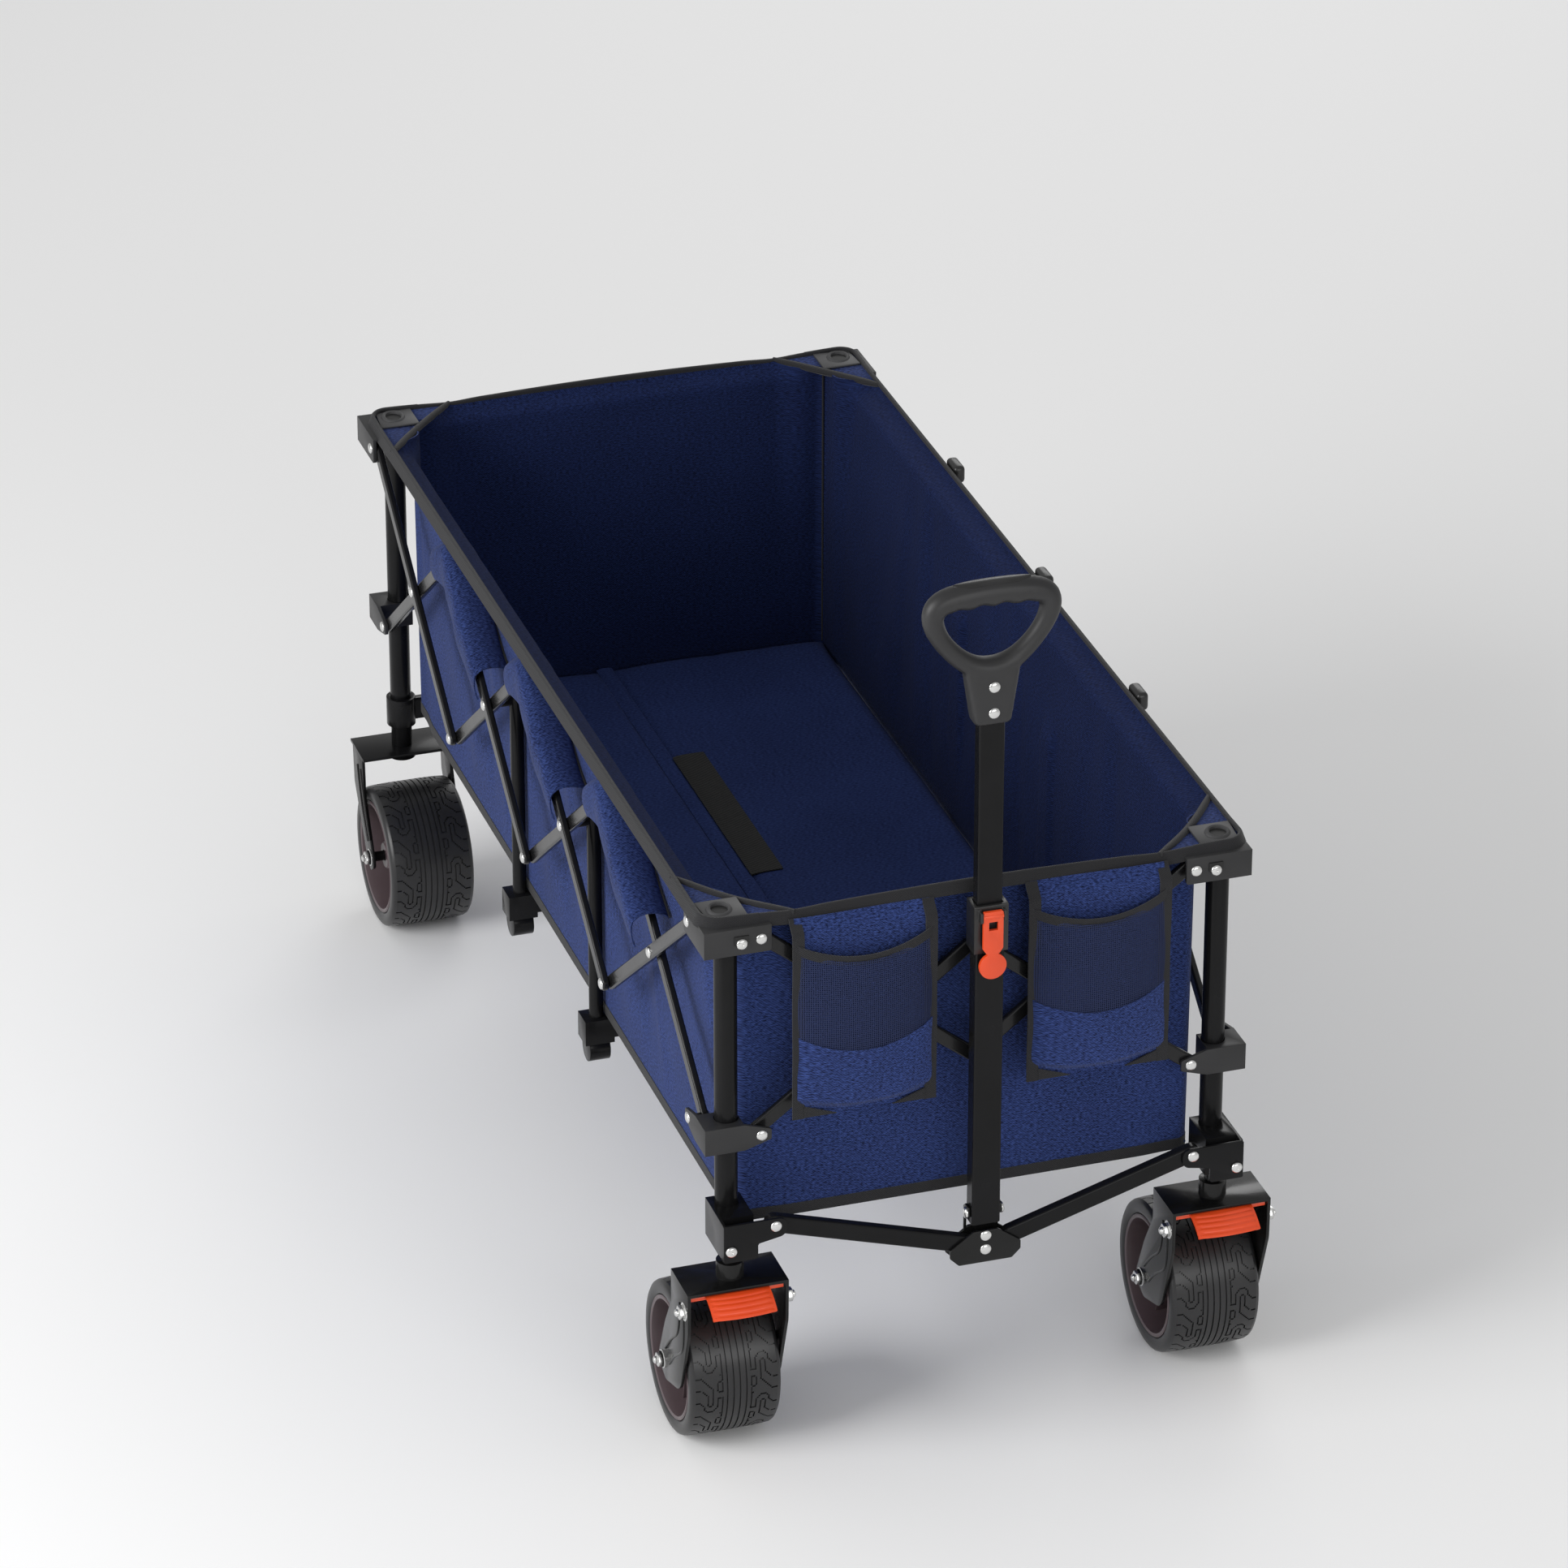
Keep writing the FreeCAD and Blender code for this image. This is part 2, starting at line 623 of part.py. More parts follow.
def rear_post(side, sx):
    """Post, collar with its ear, fixed fork and axle of a back wheel."""
    cx, cy = sx * HALF_X, HALF_Y
    top = size("rear_plate_height")
    half = size("fork_depth") / 2
    axle_y = size("axle_station")
    outer = LEG_X + SHEET
    tube = post_tube("tube", sx, 1, top, TOP_Z + size("bracket_height") / 2 - 5)
    outline = [
        (cy + 20, top - 6), (cy + 16, top - 50), (axle_y + 14, WHEEL_R - 8), (axle_y, WHEEL_R - 18),
        (axle_y - 17, WHEEL_R - 6), (cy - 26, top - 50), (cy - 24, top - 6),
    ]
    legs = fork_legs(cx, outline, [4, 10, 10, 8, 10, 10, 4])
    deck = block("deck", (cx - outer, cy - half, top - SHEET), (cx + outer, cy + half, top))
    folds = [
        block("fold", (cx + a * LEG_X, cy - 24, top - 12), (cx + a * outer, cy + 20, top)) for a in (-1, 1)
    ]
    boss = upright("boss", "post_diameter / 2 + 4", cx, cy, top - 16, top)
    solid = fuse("fork_solid", legs + [deck, boss] + folds)
    hole = rod("axle_hole", "axle_diameter / 2", "track_width", (cx, axle_y, WHEEL_R), TO_X)
    solid = cut("fork_cut", solid, [hole])
    collar = upright("collar", "post_diameter / 2 + 5", cx, cy, top + 28, top + 64)
    ear = block("ear", (cx - sx * 40, cy - 4, top + 32), (cx, cy + 4, top + 60))
    ring = cut("collar_ring", fuse("collar_ear", [collar, ear]), [post_tube("bore", sx, 1, top, top + 80)])
    node(f"rear_{side}_post", [tube, solid, axle_bolt(cx, axle_y, WHEEL_R), ring])


def wheel(label, cx, axle_y):
    """Wide tyre on a dished rim: a barrel under the tyre, a web and a hub that turns on the axle."""
    half = size("wheel_width") / 2
    rim = size("rim_diameter") / 2
    inner = rim - size("rim_barrel")
    round_off = 7
    bore, web = AXLE_R + size("axle_clearance"), size("rim_web")
    hub, hub_half = bore + size("hub_wall"), half - 4
    profiles = [
        ("tyre", [
            (rim, -half), (WHEEL_R - round_off, -half), (WHEEL_R, -half + round_off),
            (WHEEL_R, half - round_off), (WHEEL_R - round_off, half), (rim, half),
        ]),
        ("barrel", [
            (inner, -half + 3), (rim, -half + 1), (rim, half - 1), (inner, half - 3),
        ]),
        ("web", [
            (hub, -web - 2), (hub + 4, -web), (inner, -web), (inner, web), (hub + 4, web), (hub, web + 2),
        ]),
        ("hub", [(bore, -hub_half), (hub, -hub_half), (hub, hub_half), (bore, hub_half)]),
    ]
    centre = (cx, axle_y, WHEEL_R)
    node(label, [turned(name, profile, centre, TO_X) for name, profile in profiles])


def brake_pedal(side, sx):
    """Foot pedal that hangs on a cross pin under the front edge of the caster's top plate."""
    cx = sx * HALF_X
    hinge_y = -HALF_Y - size("swivel_offset") - size("fork_depth") / 2 + 8
    hinge_z = size("front_plate_height") - SHEET - 5
    barrel = rod(
        "barrel", "pin_diameter / 2 + 1", "wheel_width + 2 * fork_gap - 2 * pin_clearance",
        (cx, hinge_y, hinge_z), TO_X,
    )
    outline = [
        (hinge_y + 2, hinge_z + 3), (hinge_y - 12, hinge_z + 3), (hinge_y - 32, hinge_z - 8),
        (hinge_y - 33, hinge_z - 14), (hinge_y - 14, hinge_z - 4), (hinge_y, hinge_z - 3),
    ]
    width = size("wheel_width") * 0.66
    pad = plate("pad", outline, "wheel_width * 0.66", SIDE_PLANE, cx - width / 2, [1, 4, 2, 2, 4, 1])
    node(f"{side}_brake_pedal", [fuse("pedal", [barrel, pad])])


# ---- V links, hub and handle ---------------------------------------------------------------------

LINK_Y = -HALF_Y - size("link_plane")
PLATE = size("hub_plate")


def lower_link(side, sx):
    """One half of the V under the body. The right one stops short of the hub pin."""
    outer = (sx * (HALF_X - size("link_pin_inset")), size("link_pin_height"))
    inner = (0.0, size("hub_pin_height"))
    pins = [outer, inner]
    if sx > 0:
        length = math.hypot(outer[0], outer[1] - inner[1])
        short = (size("open_pivot_gap") + size("link_height") / 2) / length
        inner = (outer[0] * short, inner[1] + (outer[1] - inner[1]) * short)
        pins = [outer]
    start = LINK_Y + size("link_depth") / 2
    node(f"front_{side}_lower_link", [
        bar("link", FRONT_PLANE, start, (outer, inner), pins, "link_height", "link_depth")
    ])


def handle_hub():
    """Two plates on the middle of the V, with ears for the handle's hinge pin."""
    pin_z, pivot_z = size("hub_pin_height"), size("handle_pivot_height")
    half_link = size("link_depth") / 2 + size("cheek_gap")
    base, top = pin_z - 16, pivot_z - 21
    outline = [
        (-30, base), (30, base), (40, base + 10), (40, pin_z + 4), (14, top), (-14, top),
        (-40, pin_z + 4), (-40, base + 10),
    ]
    front = plate("front_plate", outline, "hub_plate", FRONT_PLANE, LINK_Y - half_link, 3)
    rear = plate("rear_plate", outline, "hub_plate", FRONT_PLANE, LINK_Y + half_link + PLATE, 3)
    ear_x = size("handle_width") / 2 + size("cheek_gap")
    ear_outline = [
        (LINK_Y + half_link, base + 14), (LINK_Y + half_link + PLATE, base + 14),
        (LINK_Y + half_link + PLATE, pivot_z + 4), (LINK_Y + 4, pivot_z + 9),
        (LINK_Y - 5, pivot_z + 8), (LINK_Y - 6, pivot_z - 5), (LINK_Y + half_link, pivot_z - 5),
    ]
    ears = []
    for start in (ear_x, -ear_x - PLATE):
        ears.append(plate("ear", ear_outline, "hub_plate", SIDE_PLANE, start, [0, 0, 2, 3, 3, 3, 0]))
    link_rivet = rivet(
        "link_rivet", TO_Y, (0, 0, pin_z), LINK_Y - half_link - PLATE, LINK_Y + half_link + PLATE,
    )
    hinge_pin = rivet(
        "hinge_pin", TO_X, (0, LINK_Y, pivot_z), -ear_x - PLATE, ear_x + PLATE,
    )
    whole = fuse("hub_solid", [front, rear] + ears)
    holes = [
        rod("hole", "pin_diameter / 2", "link_depth * 2", (0, LINK_Y, pin_z), TO_Y),
        rod("hole", "pin_diameter / 2", "handle_width * 2", (0, LINK_Y, pivot_z), TO_X),
    ]
    node("handle_hub", [cut("hub_cut", whole, holes), link_rivet, hinge_pin])


def tube_block(label, width, depth, wall, z0, z1):
    """A rectangular tube along Z with its middle on the handle's plane."""
    solid = block(label, (-width / 2, LINK_Y - depth / 2, z0), (width / 2, LINK_Y + depth / 2, z1))
    hollow = block(
        label + "_hollow", (-width / 2 + wall, LINK_Y - depth / 2 + wall, z0 - 1),
        (width / 2 - wall, LINK_Y + depth / 2 - wall, z1 + 1),
    )
    rounded = doc.addObject("Part::Fillet", "Rounded")
    rounded.Base = solid
    doc.recompute()
    rounded.Edges = [
        (i, 2.5, 2.5) for i, e in enumerate(solid.Shape.Edges, start=1) if e.BoundBox.ZLength > 1
    ]
    return cut(label + "_tube", rounded, [hollow])


def handle():
    """Outer tube on the hub, collar, inner tube that slides, grip and latch key."""
    width, depth, wall = size("handle_width"), size("handle_depth"), size("handle_wall")
    pivot_z = size("handle_pivot_height")
    top, base = size("collar_top"), size("collar_base")
    outer = tube_block("outer", width, depth, wall, pivot_z - 12, top - 4)
    pivot = (0, LINK_Y, pivot_z)
    pin_hole = rod("pin_hole", "pin_diameter / 2 + pin_clearance", "handle_width * 2", pivot, TO_X)
    node("handle_lower_tube", [cut("outer_drilled", outer, [pin_hole])])

    gap = size("tube_clearance")
    inner_width, inner_depth = width - 2 * (wall + gap), depth - 2 * (wall + gap)
    collar_wall = 3
    sleeve = block(
        "sleeve", (-width / 2 - collar_wall, LINK_Y - depth / 2 - collar_wall, base),
        (width / 2 + collar_wall, LINK_Y + depth / 2 + collar_wall, top),
    )
    half_width, half_depth = width / 2, depth / 2
    room_start = (-half_width, LINK_Y - half_depth, base - 1)
    room = block("room", room_start, (half_width, LINK_Y + half_depth, top - 4))
    mouth = block(
        "mouth", (-inner_width / 2 - gap, LINK_Y - inner_depth / 2 - gap, top - 10),
        (inner_width / 2 + gap, LINK_Y + inner_depth / 2 + gap, top + 1),
    )
    sleeve_front = LINK_Y - depth / 2 - collar_wall
    lugs = [
        block("lug", (a * 11.5, sleeve_front - 8, base + 40), (a * 14.5, sleeve_front, base + 52))
        for a in (-1, 1)
    ]
    node("handle_collar", [cut("collar", fuse("collar_solid", [sleeve] + lugs), [room, mouth])])

    node("handle_upper_tube", [
        tube_block("inner", inner_width, inner_depth, wall, size("upper_tube_end"), size("grip_base") + 30)
    ])

    grip_z, grip_top = size("grip_base"), size("grip_top")
    half, thick = size("grip_width") / 2, size("grip_bar")
    outline = [
        (-22, grip_z), (22, grip_z), (24, grip_z + 45), (half * 0.72, grip_top - 76),
        (half, grip_top - 40), (half - 4, grip_top - 8), (0, grip_top + 4), (-half + 4, grip_top - 8),
        (-half, grip_top - 40), (-half * 0.72, grip_top - 76), (-24, grip_z + 45),
    ]
    body = plate(
        "grip_body", outline, "grip_depth", FRONT_PLANE, LINK_Y + size("grip_depth") / 2,
        [4, 4, 12, 16, 20, 26, 60, 26, 20, 16, 12],
    )
    loop = [
        (0, grip_z + 58), (24, grip_z + 66), (half - thick, grip_top - 52),
        (half - thick - 2, grip_top - thick - 4), (-half + thick + 2, grip_top - thick - 4),
        (-half + thick, grip_top - 52), (-24, grip_z + 66),
    ]
    rounding = [16, 14, 14, 12, 12, 14, 14]
    window = plate("window", loop, "grip_depth * 2", FRONT_PLANE, LINK_Y + size("grip_depth"), rounding)
    socket = block(
        "socket", (-inner_width / 2, LINK_Y - inner_depth / 2, grip_z - 1),
        (inner_width / 2, LINK_Y + inner_depth / 2, grip_z + 30),
    )
    node("handle_grip", [cut("grip", body, [window, socket])])

    key_gap = 3
    key_face = LINK_Y - depth / 2 - collar_wall - key_gap
    disc_z, pivot_height = base - 13, base + 46
    key_outline = [
        (-11, base + 52), (-11, base + 8), (-7, base + 2), (7, base + 2), (11, base + 8),
        (11, base + 52),
    ]
    key = plate("key", key_outline, "cheek_thickness", FRONT_PLANE, key_face, 2)
    neck = block("neck", (-6, key_face - CHEEK, disc_z), (6, key_face, base + 8))
    disc = rod("disc", "handle_width / 2 - 1", "cheek_thickness", (0, key_face - CHEEK / 2, disc_z), TO_Y)
    slot = block("slot", (-5, key_face - 10, base + 30), (5, key_face + 1, base + 40))
    pivot_centre = (0, key_face - CHEEK / 2, pivot_height)
    pivot = rod("pivot", "pin_diameter / 2", "handle_width * 0.7", pivot_centre, TO_X)
    solid = fuse("key_solid", [key, neck, disc])
    node("latch_key", [fuse("key_pivot", [cut("key_cut", solid, [slot]), pivot])])


# ---- middle posts -------------------------------------------------------------------------------

def mid_post(side, sx, number):
    """Thin post that hangs on a bar crossing, with a block, a floor arm and a foot below."""
    y = side_y(2 * number + 1)
    x = sx * (HALF_X - size("mid_post_inset"))
    radius = size("mid_post_diameter") / 2
    top = size("mid_block_top")
    tube = upright("tube", "mid_post_diameter / 2", x, y, top - 10, CROSS_Z + 12)
    low = x if sx > 0 else side_span(sx, 1, 2)[0]
    high = side_span(sx, 1, 2)[1] if sx > 0 else x
    pin = doc.addObject("Part::Cylinder", "Pin")
    bind(pin, "Radius", "pin_diameter / 2")
    pin.Height = high - low
    pin.Placement = Placement(Vector(low, y, CROSS_Z), TO_X)
    head_x = high if sx > 0 else low - size("head_height")
    head = doc.addObject("Part::Cylinder", "Head")
    bind(head, "Radius", "head_diameter / 2")
    bind(head, "Height", "head_height")
    head.Placement = Placement(Vector(head_x, y, CROSS_Z), TO_X)
    inner_bar = min(abs(v) for v in side_span(sx, 1, 1))
    spacer_ends = sorted((sx * (abs(x) + radius - 2), sx * (inner_bar - size("layer_gap"))))
    spacer = doc.addObject("Part::Cylinder", "Spacer")
    bind(spacer, "Radius", "head_diameter / 2")
    spacer.Height = spacer_ends[1] - spacer_ends[0]
    spacer.Placement = Placement(Vector(spacer_ends[0], y, CROSS_Z), TO_X)
    block_height = size("mid_block_height")
    body = block("block", (x - sx * 17, y - 15, top - block_height), (x + sx * 17, y + 15, top))
    arm = block("arm", (x - sx * 90, y - 11, top - block_height + 4), (x, y + 11, top - 2))
    foot_r = (top - block_height - size("foot_base") + 6) / 2
    foot = doc.addObject("Part::Cylinder", "Foot")
    foot.Radius = foot_r
    foot.Height = 24
    foot.Placement = Placement(Vector(x - 12, y, size("foot_base") + foot_r), TO_X)
    node(f"{side}_mid_post_{number}", [fuse("mid", [tube, pin, head, spacer, body, arm, foot])])


# ---- fabric ------------------------------------------------------------------------------------------

def basket():
    """Open fabric body of sewn panels, with a flat border that runs out over the brackets."""
    skin = size("fabric")
    bx, by = HALF_X - size("body_side_inset"), HALF_Y - size("body_end_inset")
    rim_x, rim_y = HALF_X + size("rim_side_overhang"), HALF_Y + size("rim_end_overhang")
    base, rim = size("body_base"), size("rim_height")
    panels = [block("bottom", (-bx, -by, base), (bx, by, base + skin))]
    for s in (-1, 1):
        panels.append(block("side", (s * bx, -by, base + skin), (s * (bx - skin), by, rim)))
        panels.append(block("end", (-bx + skin, s * by, base + skin), (bx - skin, s * (by - skin), rim)))
        panels.append(block("side_border", (s * rim_x, -rim_y, rim), (s * (bx - skin), rim_y, rim + skin)))
        border_end = (bx - skin, s * rim_y, rim + skin)
        panels.append(block("end_border", (-bx + skin, s * (by - skin), rim), border_end))
    node("basket", panels)
    gap = size("soft_gap")
    floor = base + skin + gap
    mat = block(
        "mat", (-bx + skin + gap, -by + skin + gap, floor),
        (bx - skin - gap, by - skin - gap, floor + size("mat_thickness")),
    )
    node("floor_mat", [mat])


def pockets():
    """Two open pouches that hang from the rim in front of the crossing bars."""
    skin = size("fabric") * 0.8
    back = -HALF_Y - END_OUT - CHEEK - 2.5
    front = back - size("pocket_depth")
    base, rim = size("pocket_base"), size("rim_height")
    top = rim - 2
    rim_edge = -HALF_Y - size("rim_end_overhang") - size("pin_clearance")
    panels = []
    for sx in SIDES.values():
        inner, outer = sx * size("pocket_inner"), sx * size("pocket_outer")
        inside, outside = inner + sx * skin, outer - sx * skin
        panels.append(block("back", (inner, back - skin, base), (outer, back, rim)))
        panels.append(block("hanger", (inner, back, rim), (outer, rim_edge, rim + skin)))
        panels.append(block("front", (inner, front, base), (outer, front + skin, top)))
        panels.append(block("inner_side", (inner, front + skin, base), (inside, back - skin, top)))
        panels.append(block("outer_side", (outside, front + skin, base), (outer, back - skin, top)))
        panels.append(block("floor", (inside, front + skin, base), (outside, back - skin, base + skin)))
    node("front_pockets", panels)


# ---- assembly -------------------------------------------------------------------------------------------

for side, sx in SIDES.items():
    side_bars(side, sx)
    front_post(side, sx)
    rear_post(side, sx)
    front_fork(side, sx)
    brake_pedal(side, sx)
    lower_link(side, sx)
    for number in (1, 2):
        mid_post(side, sx, number)
    for end, sy in ENDS.items():
        corner_brackets(end, sy, side, sx)
        wheel(f"{end}_{side}_wheel", sx * HALF_X, sy * size("axle_station"))
for end, sy in ENDS.items():
    end_bars(end, sy)
handle_hub()
handle()
basket()
pockets()

doc.recompute()
for thing in doc.Objects:
    bad = [flag for flag in thing.State if flag in ("Invalid", "Error")]
    assert not bad, (thing.Label, thing.State)
for label, piece in nodes.items():
    assert piece.Label == label, (piece.Label, label)
    assert not piece.Shape.isNull() and piece.Shape.isValid(), label

os.makedirs("parts", exist_ok=True)
for label, piece in nodes.items():
    piece.Shape.exportStep(f"parts/{label}.step")
print(len(nodes), "nodes")
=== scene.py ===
"""Looks of the folding wagon: fabric body, tyres, grip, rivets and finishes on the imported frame.

Metres, in the frame of the CAD model: +Z up, the pull handle at the -Y end.
"""

import json
import math

import bpy
from mathutils import Matrix, Vector
from mathutils.bvhtree import BVHTree

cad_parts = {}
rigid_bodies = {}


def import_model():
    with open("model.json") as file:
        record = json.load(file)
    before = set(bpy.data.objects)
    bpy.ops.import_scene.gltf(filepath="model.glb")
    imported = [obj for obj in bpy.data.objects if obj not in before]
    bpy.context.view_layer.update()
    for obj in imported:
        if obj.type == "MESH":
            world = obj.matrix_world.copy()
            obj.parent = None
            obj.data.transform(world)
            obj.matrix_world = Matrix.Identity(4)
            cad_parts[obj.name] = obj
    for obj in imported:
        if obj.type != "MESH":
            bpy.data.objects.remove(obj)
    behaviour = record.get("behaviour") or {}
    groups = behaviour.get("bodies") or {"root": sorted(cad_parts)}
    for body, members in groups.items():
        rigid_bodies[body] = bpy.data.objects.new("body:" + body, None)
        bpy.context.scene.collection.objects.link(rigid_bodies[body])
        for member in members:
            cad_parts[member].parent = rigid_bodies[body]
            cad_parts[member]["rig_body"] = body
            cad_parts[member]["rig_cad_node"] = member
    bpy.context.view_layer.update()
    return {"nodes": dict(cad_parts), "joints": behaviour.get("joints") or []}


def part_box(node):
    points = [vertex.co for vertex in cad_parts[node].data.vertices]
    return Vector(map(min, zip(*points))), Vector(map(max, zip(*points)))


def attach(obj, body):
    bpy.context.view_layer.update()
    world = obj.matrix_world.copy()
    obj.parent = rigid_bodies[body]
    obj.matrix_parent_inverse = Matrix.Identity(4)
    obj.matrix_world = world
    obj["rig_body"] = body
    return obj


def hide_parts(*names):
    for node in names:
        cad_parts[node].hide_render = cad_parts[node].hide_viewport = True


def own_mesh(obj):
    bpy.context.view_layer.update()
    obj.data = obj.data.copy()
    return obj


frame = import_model()
joints = {joint["name"]: joint for joint in frame["joints"]}
SIDES = {"left": -1, "right": 1}
ENDS = {"front": -1, "rear": 1}
MM = 0.001


# ---- places read from the frame --------------------------------------------------------------

# The wagon is modelled about the middle of its fabric body, and each piece then goes to its place.
SHIFT = Vector((0, sum(corner.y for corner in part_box("basket")) / 2, 0))


def box(node):
    """The two corners of a CAD node, about the middle of the body."""
    low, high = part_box(node)
    return low - SHIFT, high - SHIFT


def joint_place(name):
    return Vector(joints[name]["pos_m"]) - SHIFT


def edge_of(node, axis, sign):
    """The furthest coordinate of a CAD node along an axis, on the side of the sign."""
    low, high = box(node)
    return high[axis] if sign > 0 else low[axis]


body_low, body_high = box("basket")
mat_low, mat_high = box("floor_mat")
RIM_X, RIM_Y, RIM_Z = body_high.x, body_high.y, body_high.z
FLOOR_Z = body_low.z
PIN_Y = abs(joint_place("fold").y)
PIN_X = abs(joint_place("front_right_frame_pivot").x)
TOP_PIN_Z = joint_place("fold").z
HALF_CELL = abs(joint_place("left_rise_1").y - joint_place("fold").y)
BAR_SLOPE = (TOP_PIN_Z - joint_place("left_rise_1").z) / HALF_CELL
POST_X = abs(joint_place("front_right_swivel").x)
WALL_X = POST_X - 15 * MM
WALL_Y = RIM_Y - 31 * MM


# ---- camera ----------------------------------------------------------------------------------

eye = bpy.data.objects.new("camera", bpy.data.cameras.new("camera"))
bpy.context.scene.collection.objects.link(eye)
eye.location = Vector((-2.3530, -7.2567, 4.4312)) + SHIFT
eye.rotation_euler = [math.radians(a) for a in (62.346, -0.002, -17.973)]
eye.data.sensor_width = 36
eye.data.lens = 173.78
eye.data.clip_end = 100
bpy.context.scene.camera = eye


# ---- modelling helpers -----------------------------------------------------------------------

def pick(piece):
    """Makes one piece the only selected and active object."""
    bpy.ops.object.select_all(action="DESELECT")
    piece.select_set(True)
    bpy.context.view_layer.objects.active = piece
    return piece


def pick_faces(piece, wanted):
    """Goes into edit mode with the faces selected for which wanted(face) is true."""
    pick(piece)
    bpy.ops.object.mode_set(mode="EDIT")
    bpy.ops.mesh.select_mode(type="FACE")
    bpy.ops.mesh.select_all(action="DESELECT")
    bpy.ops.object.mode_set(mode="OBJECT")
    for face in piece.data.polygons:
        face.select = wanted(face)
    bpy.ops.object.mode_set(mode="EDIT")


def leave_edit():
    bpy.ops.object.mode_set(mode="OBJECT")


def settle(piece):
    """Puts a piece's place into its mesh."""
    pick(piece)
    bpy.ops.object.transform_apply(location=True, rotation=True, scale=True)
    return piece


def apply_modifier(piece, kind, **values):
    pick(piece)
    modifier = piece.modifiers.new(kind.title(), kind)
    for key, value in values.items():
        setattr(modifier, key, value)
    bpy.ops.object.modifier_apply(modifier=modifier.name)
    return piece


def smooth(piece, degrees=35):
    pick(piece)
    bpy.ops.object.shade_smooth_by_angle(angle=math.radians(degrees))
    return piece


def clean(piece, gap=1e-5):
    """Closes seams and points all faces outwards."""
    pick(piece)
    bpy.ops.object.mode_set(mode="EDIT")
    bpy.ops.mesh.select_all(action="SELECT")
    bpy.ops.mesh.remove_doubles(threshold=gap)
    bpy.ops.mesh.normals_make_consistent(inside=False)
    leave_edit()
    return piece


def finish_piece(piece, name, finish, body, angle=35):
    """Names a piece, gives it its finish and lets it ride on a body."""
    piece.name = name
    piece.data.name = name
    piece.data.materials.clear()
    piece.data.materials.append(finish)
    smooth(piece, angle)
    piece.data.transform(Matrix.Translation(SHIFT))
    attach(piece, body)
    return piece


def join(pieces):
    """One piece out of several."""
    bpy.ops.object.select_all(action="DESELECT")
    for piece in pieces:
        piece.select_set(True)
    bpy.context.view_layer.objects.active = pieces[0]
    if len(pieces) > 1:
        bpy.ops.object.join()
    return bpy.context.view_layer.objects.active


def copy_of(piece, move=(0, 0, 0), turn=None, about=None):
    """A copy with its own mesh, moved, and turned about a point first."""
    made = piece.copy()
    made.data = piece.data.copy()
    bpy.context.scene.collection.objects.link(made)
    if turn is not None:
        centre = Matrix.Translation(about)
        made.data.transform(centre @ turn @ centre.inverted())
    made.data.transform(Matrix.Translation(move))
    return made


def rounded_block(low, high, edge, segments=3):
    """A block between two corners with rounded edges."""
    low, high = Vector(low), Vector(high)
    bpy.ops.object.select_all(action="DESELECT")
    bpy.ops.mesh.primitive_cube_add(size=1, location=(low + high) / 2)
    piece = bpy.context.active_object
    piece.scale = [abs(a) for a in high - low]
    settle(piece)
    apply_modifier(piece, "BEVEL", width=edge, segments=segments, limit_method="ANGLE")
    return clean(piece)


def turn_to(axis):
    """Turns +Z to an axis."""
    return Vector((0, 0, 1)).rotation_difference(Vector(axis)).to_matrix().to_4x4()


def turned(profile, centre, axis, steps=32):
    """A profile of (radius, station) points spun about an axis through the centre."""
    mesh = bpy.data.meshes.new("profile")
    points = [(radius, 0, station) for radius, station in profile]
    mesh.from_pydata(points, [(i, i + 1) for i in range(len(points) - 1)], [])
    piece = bpy.data.objects.new("turned", mesh)
    bpy.context.scene.collection.objects.link(piece)
    pick(piece)
    bpy.ops.object.mode_set(mode="EDIT")
    bpy.ops.mesh.select_all(action="SELECT")
    bpy.ops.mesh.spin(steps=steps, angle=2 * math.pi, center=(0, 0, 0), axis=(0, 0, 1))
    leave_edit()
    clean(piece)
    piece.data.transform(Matrix.Translation(centre) @ turn_to(axis))
    return piece


def swept(points, radius, closed=False, radii=None, order=4):
    """A smooth rod along points."""
    data = bpy.data.curves.new("run", "CURVE")
    data.dimensions = "3D"
    spline = data.splines.new("NURBS")
    spline.points.add(len(points) - 1)
    for i, point in enumerate(points):
        spline.points[i].co = (*point, 1)
        if radii:
            spline.points[i].radius = radii[i]
    spline.use_cyclic_u = closed
    spline.order_u = order
    spline.use_endpoint_u = not closed
    spline.resolution_u = 8
    data.bevel_depth = radius
    data.bevel_resolution = 4
    data.use_fill_caps = True
    piece = bpy.data.objects.new("run", data)
    bpy.context.scene.collection.objects.link(piece)
    pick(piece)
    bpy.ops.object.convert(target="MESH")
    return clean(bpy.context.active_object)


def cloth_grid(across, down, place):
    """A grid of across by down cells whose corners go where place(u, v) says, u and v from 0 to 1."""
    bpy.ops.object.select_all(action="DESELECT")
    bpy.ops.mesh.primitive_grid_add(x_subdivisions=across, y_subdivisions=down, size=1, calc_uvs=True)
    piece = bpy.context.active_object
    for vertex in piece.data.vertices:
        vertex.co = place(vertex.co.x + 0.5, vertex.co.y + 0.5)
    return piece


def ease(x):
    """0 below 0, 1 above 1 and smooth between."""
    x = min(1.0, max(0.0, x))
    return x * x * (3 - 2 * x)


# ---- shared shader groups --------------------------------------------------------------------

class Group:
    """A shader node group with named inputs and outputs, built once."""

    def __init__(self, name, inputs, outputs):
        self.tree = bpy.data.node_groups.new(name, "ShaderNodeTree")
        for label, kind, default in inputs:
            socket = self.tree.interface.new_socket(label, in_out="INPUT", socket_type=kind)
            if default is not None:
                socket.default_value = default
        for label, kind in outputs:
            self.tree.interface.new_socket(label, in_out="OUTPUT", socket_type=kind)
        self.given = self.tree.nodes.new("NodeGroupInput")
        self.result = self.tree.nodes.new("NodeGroupOutput")


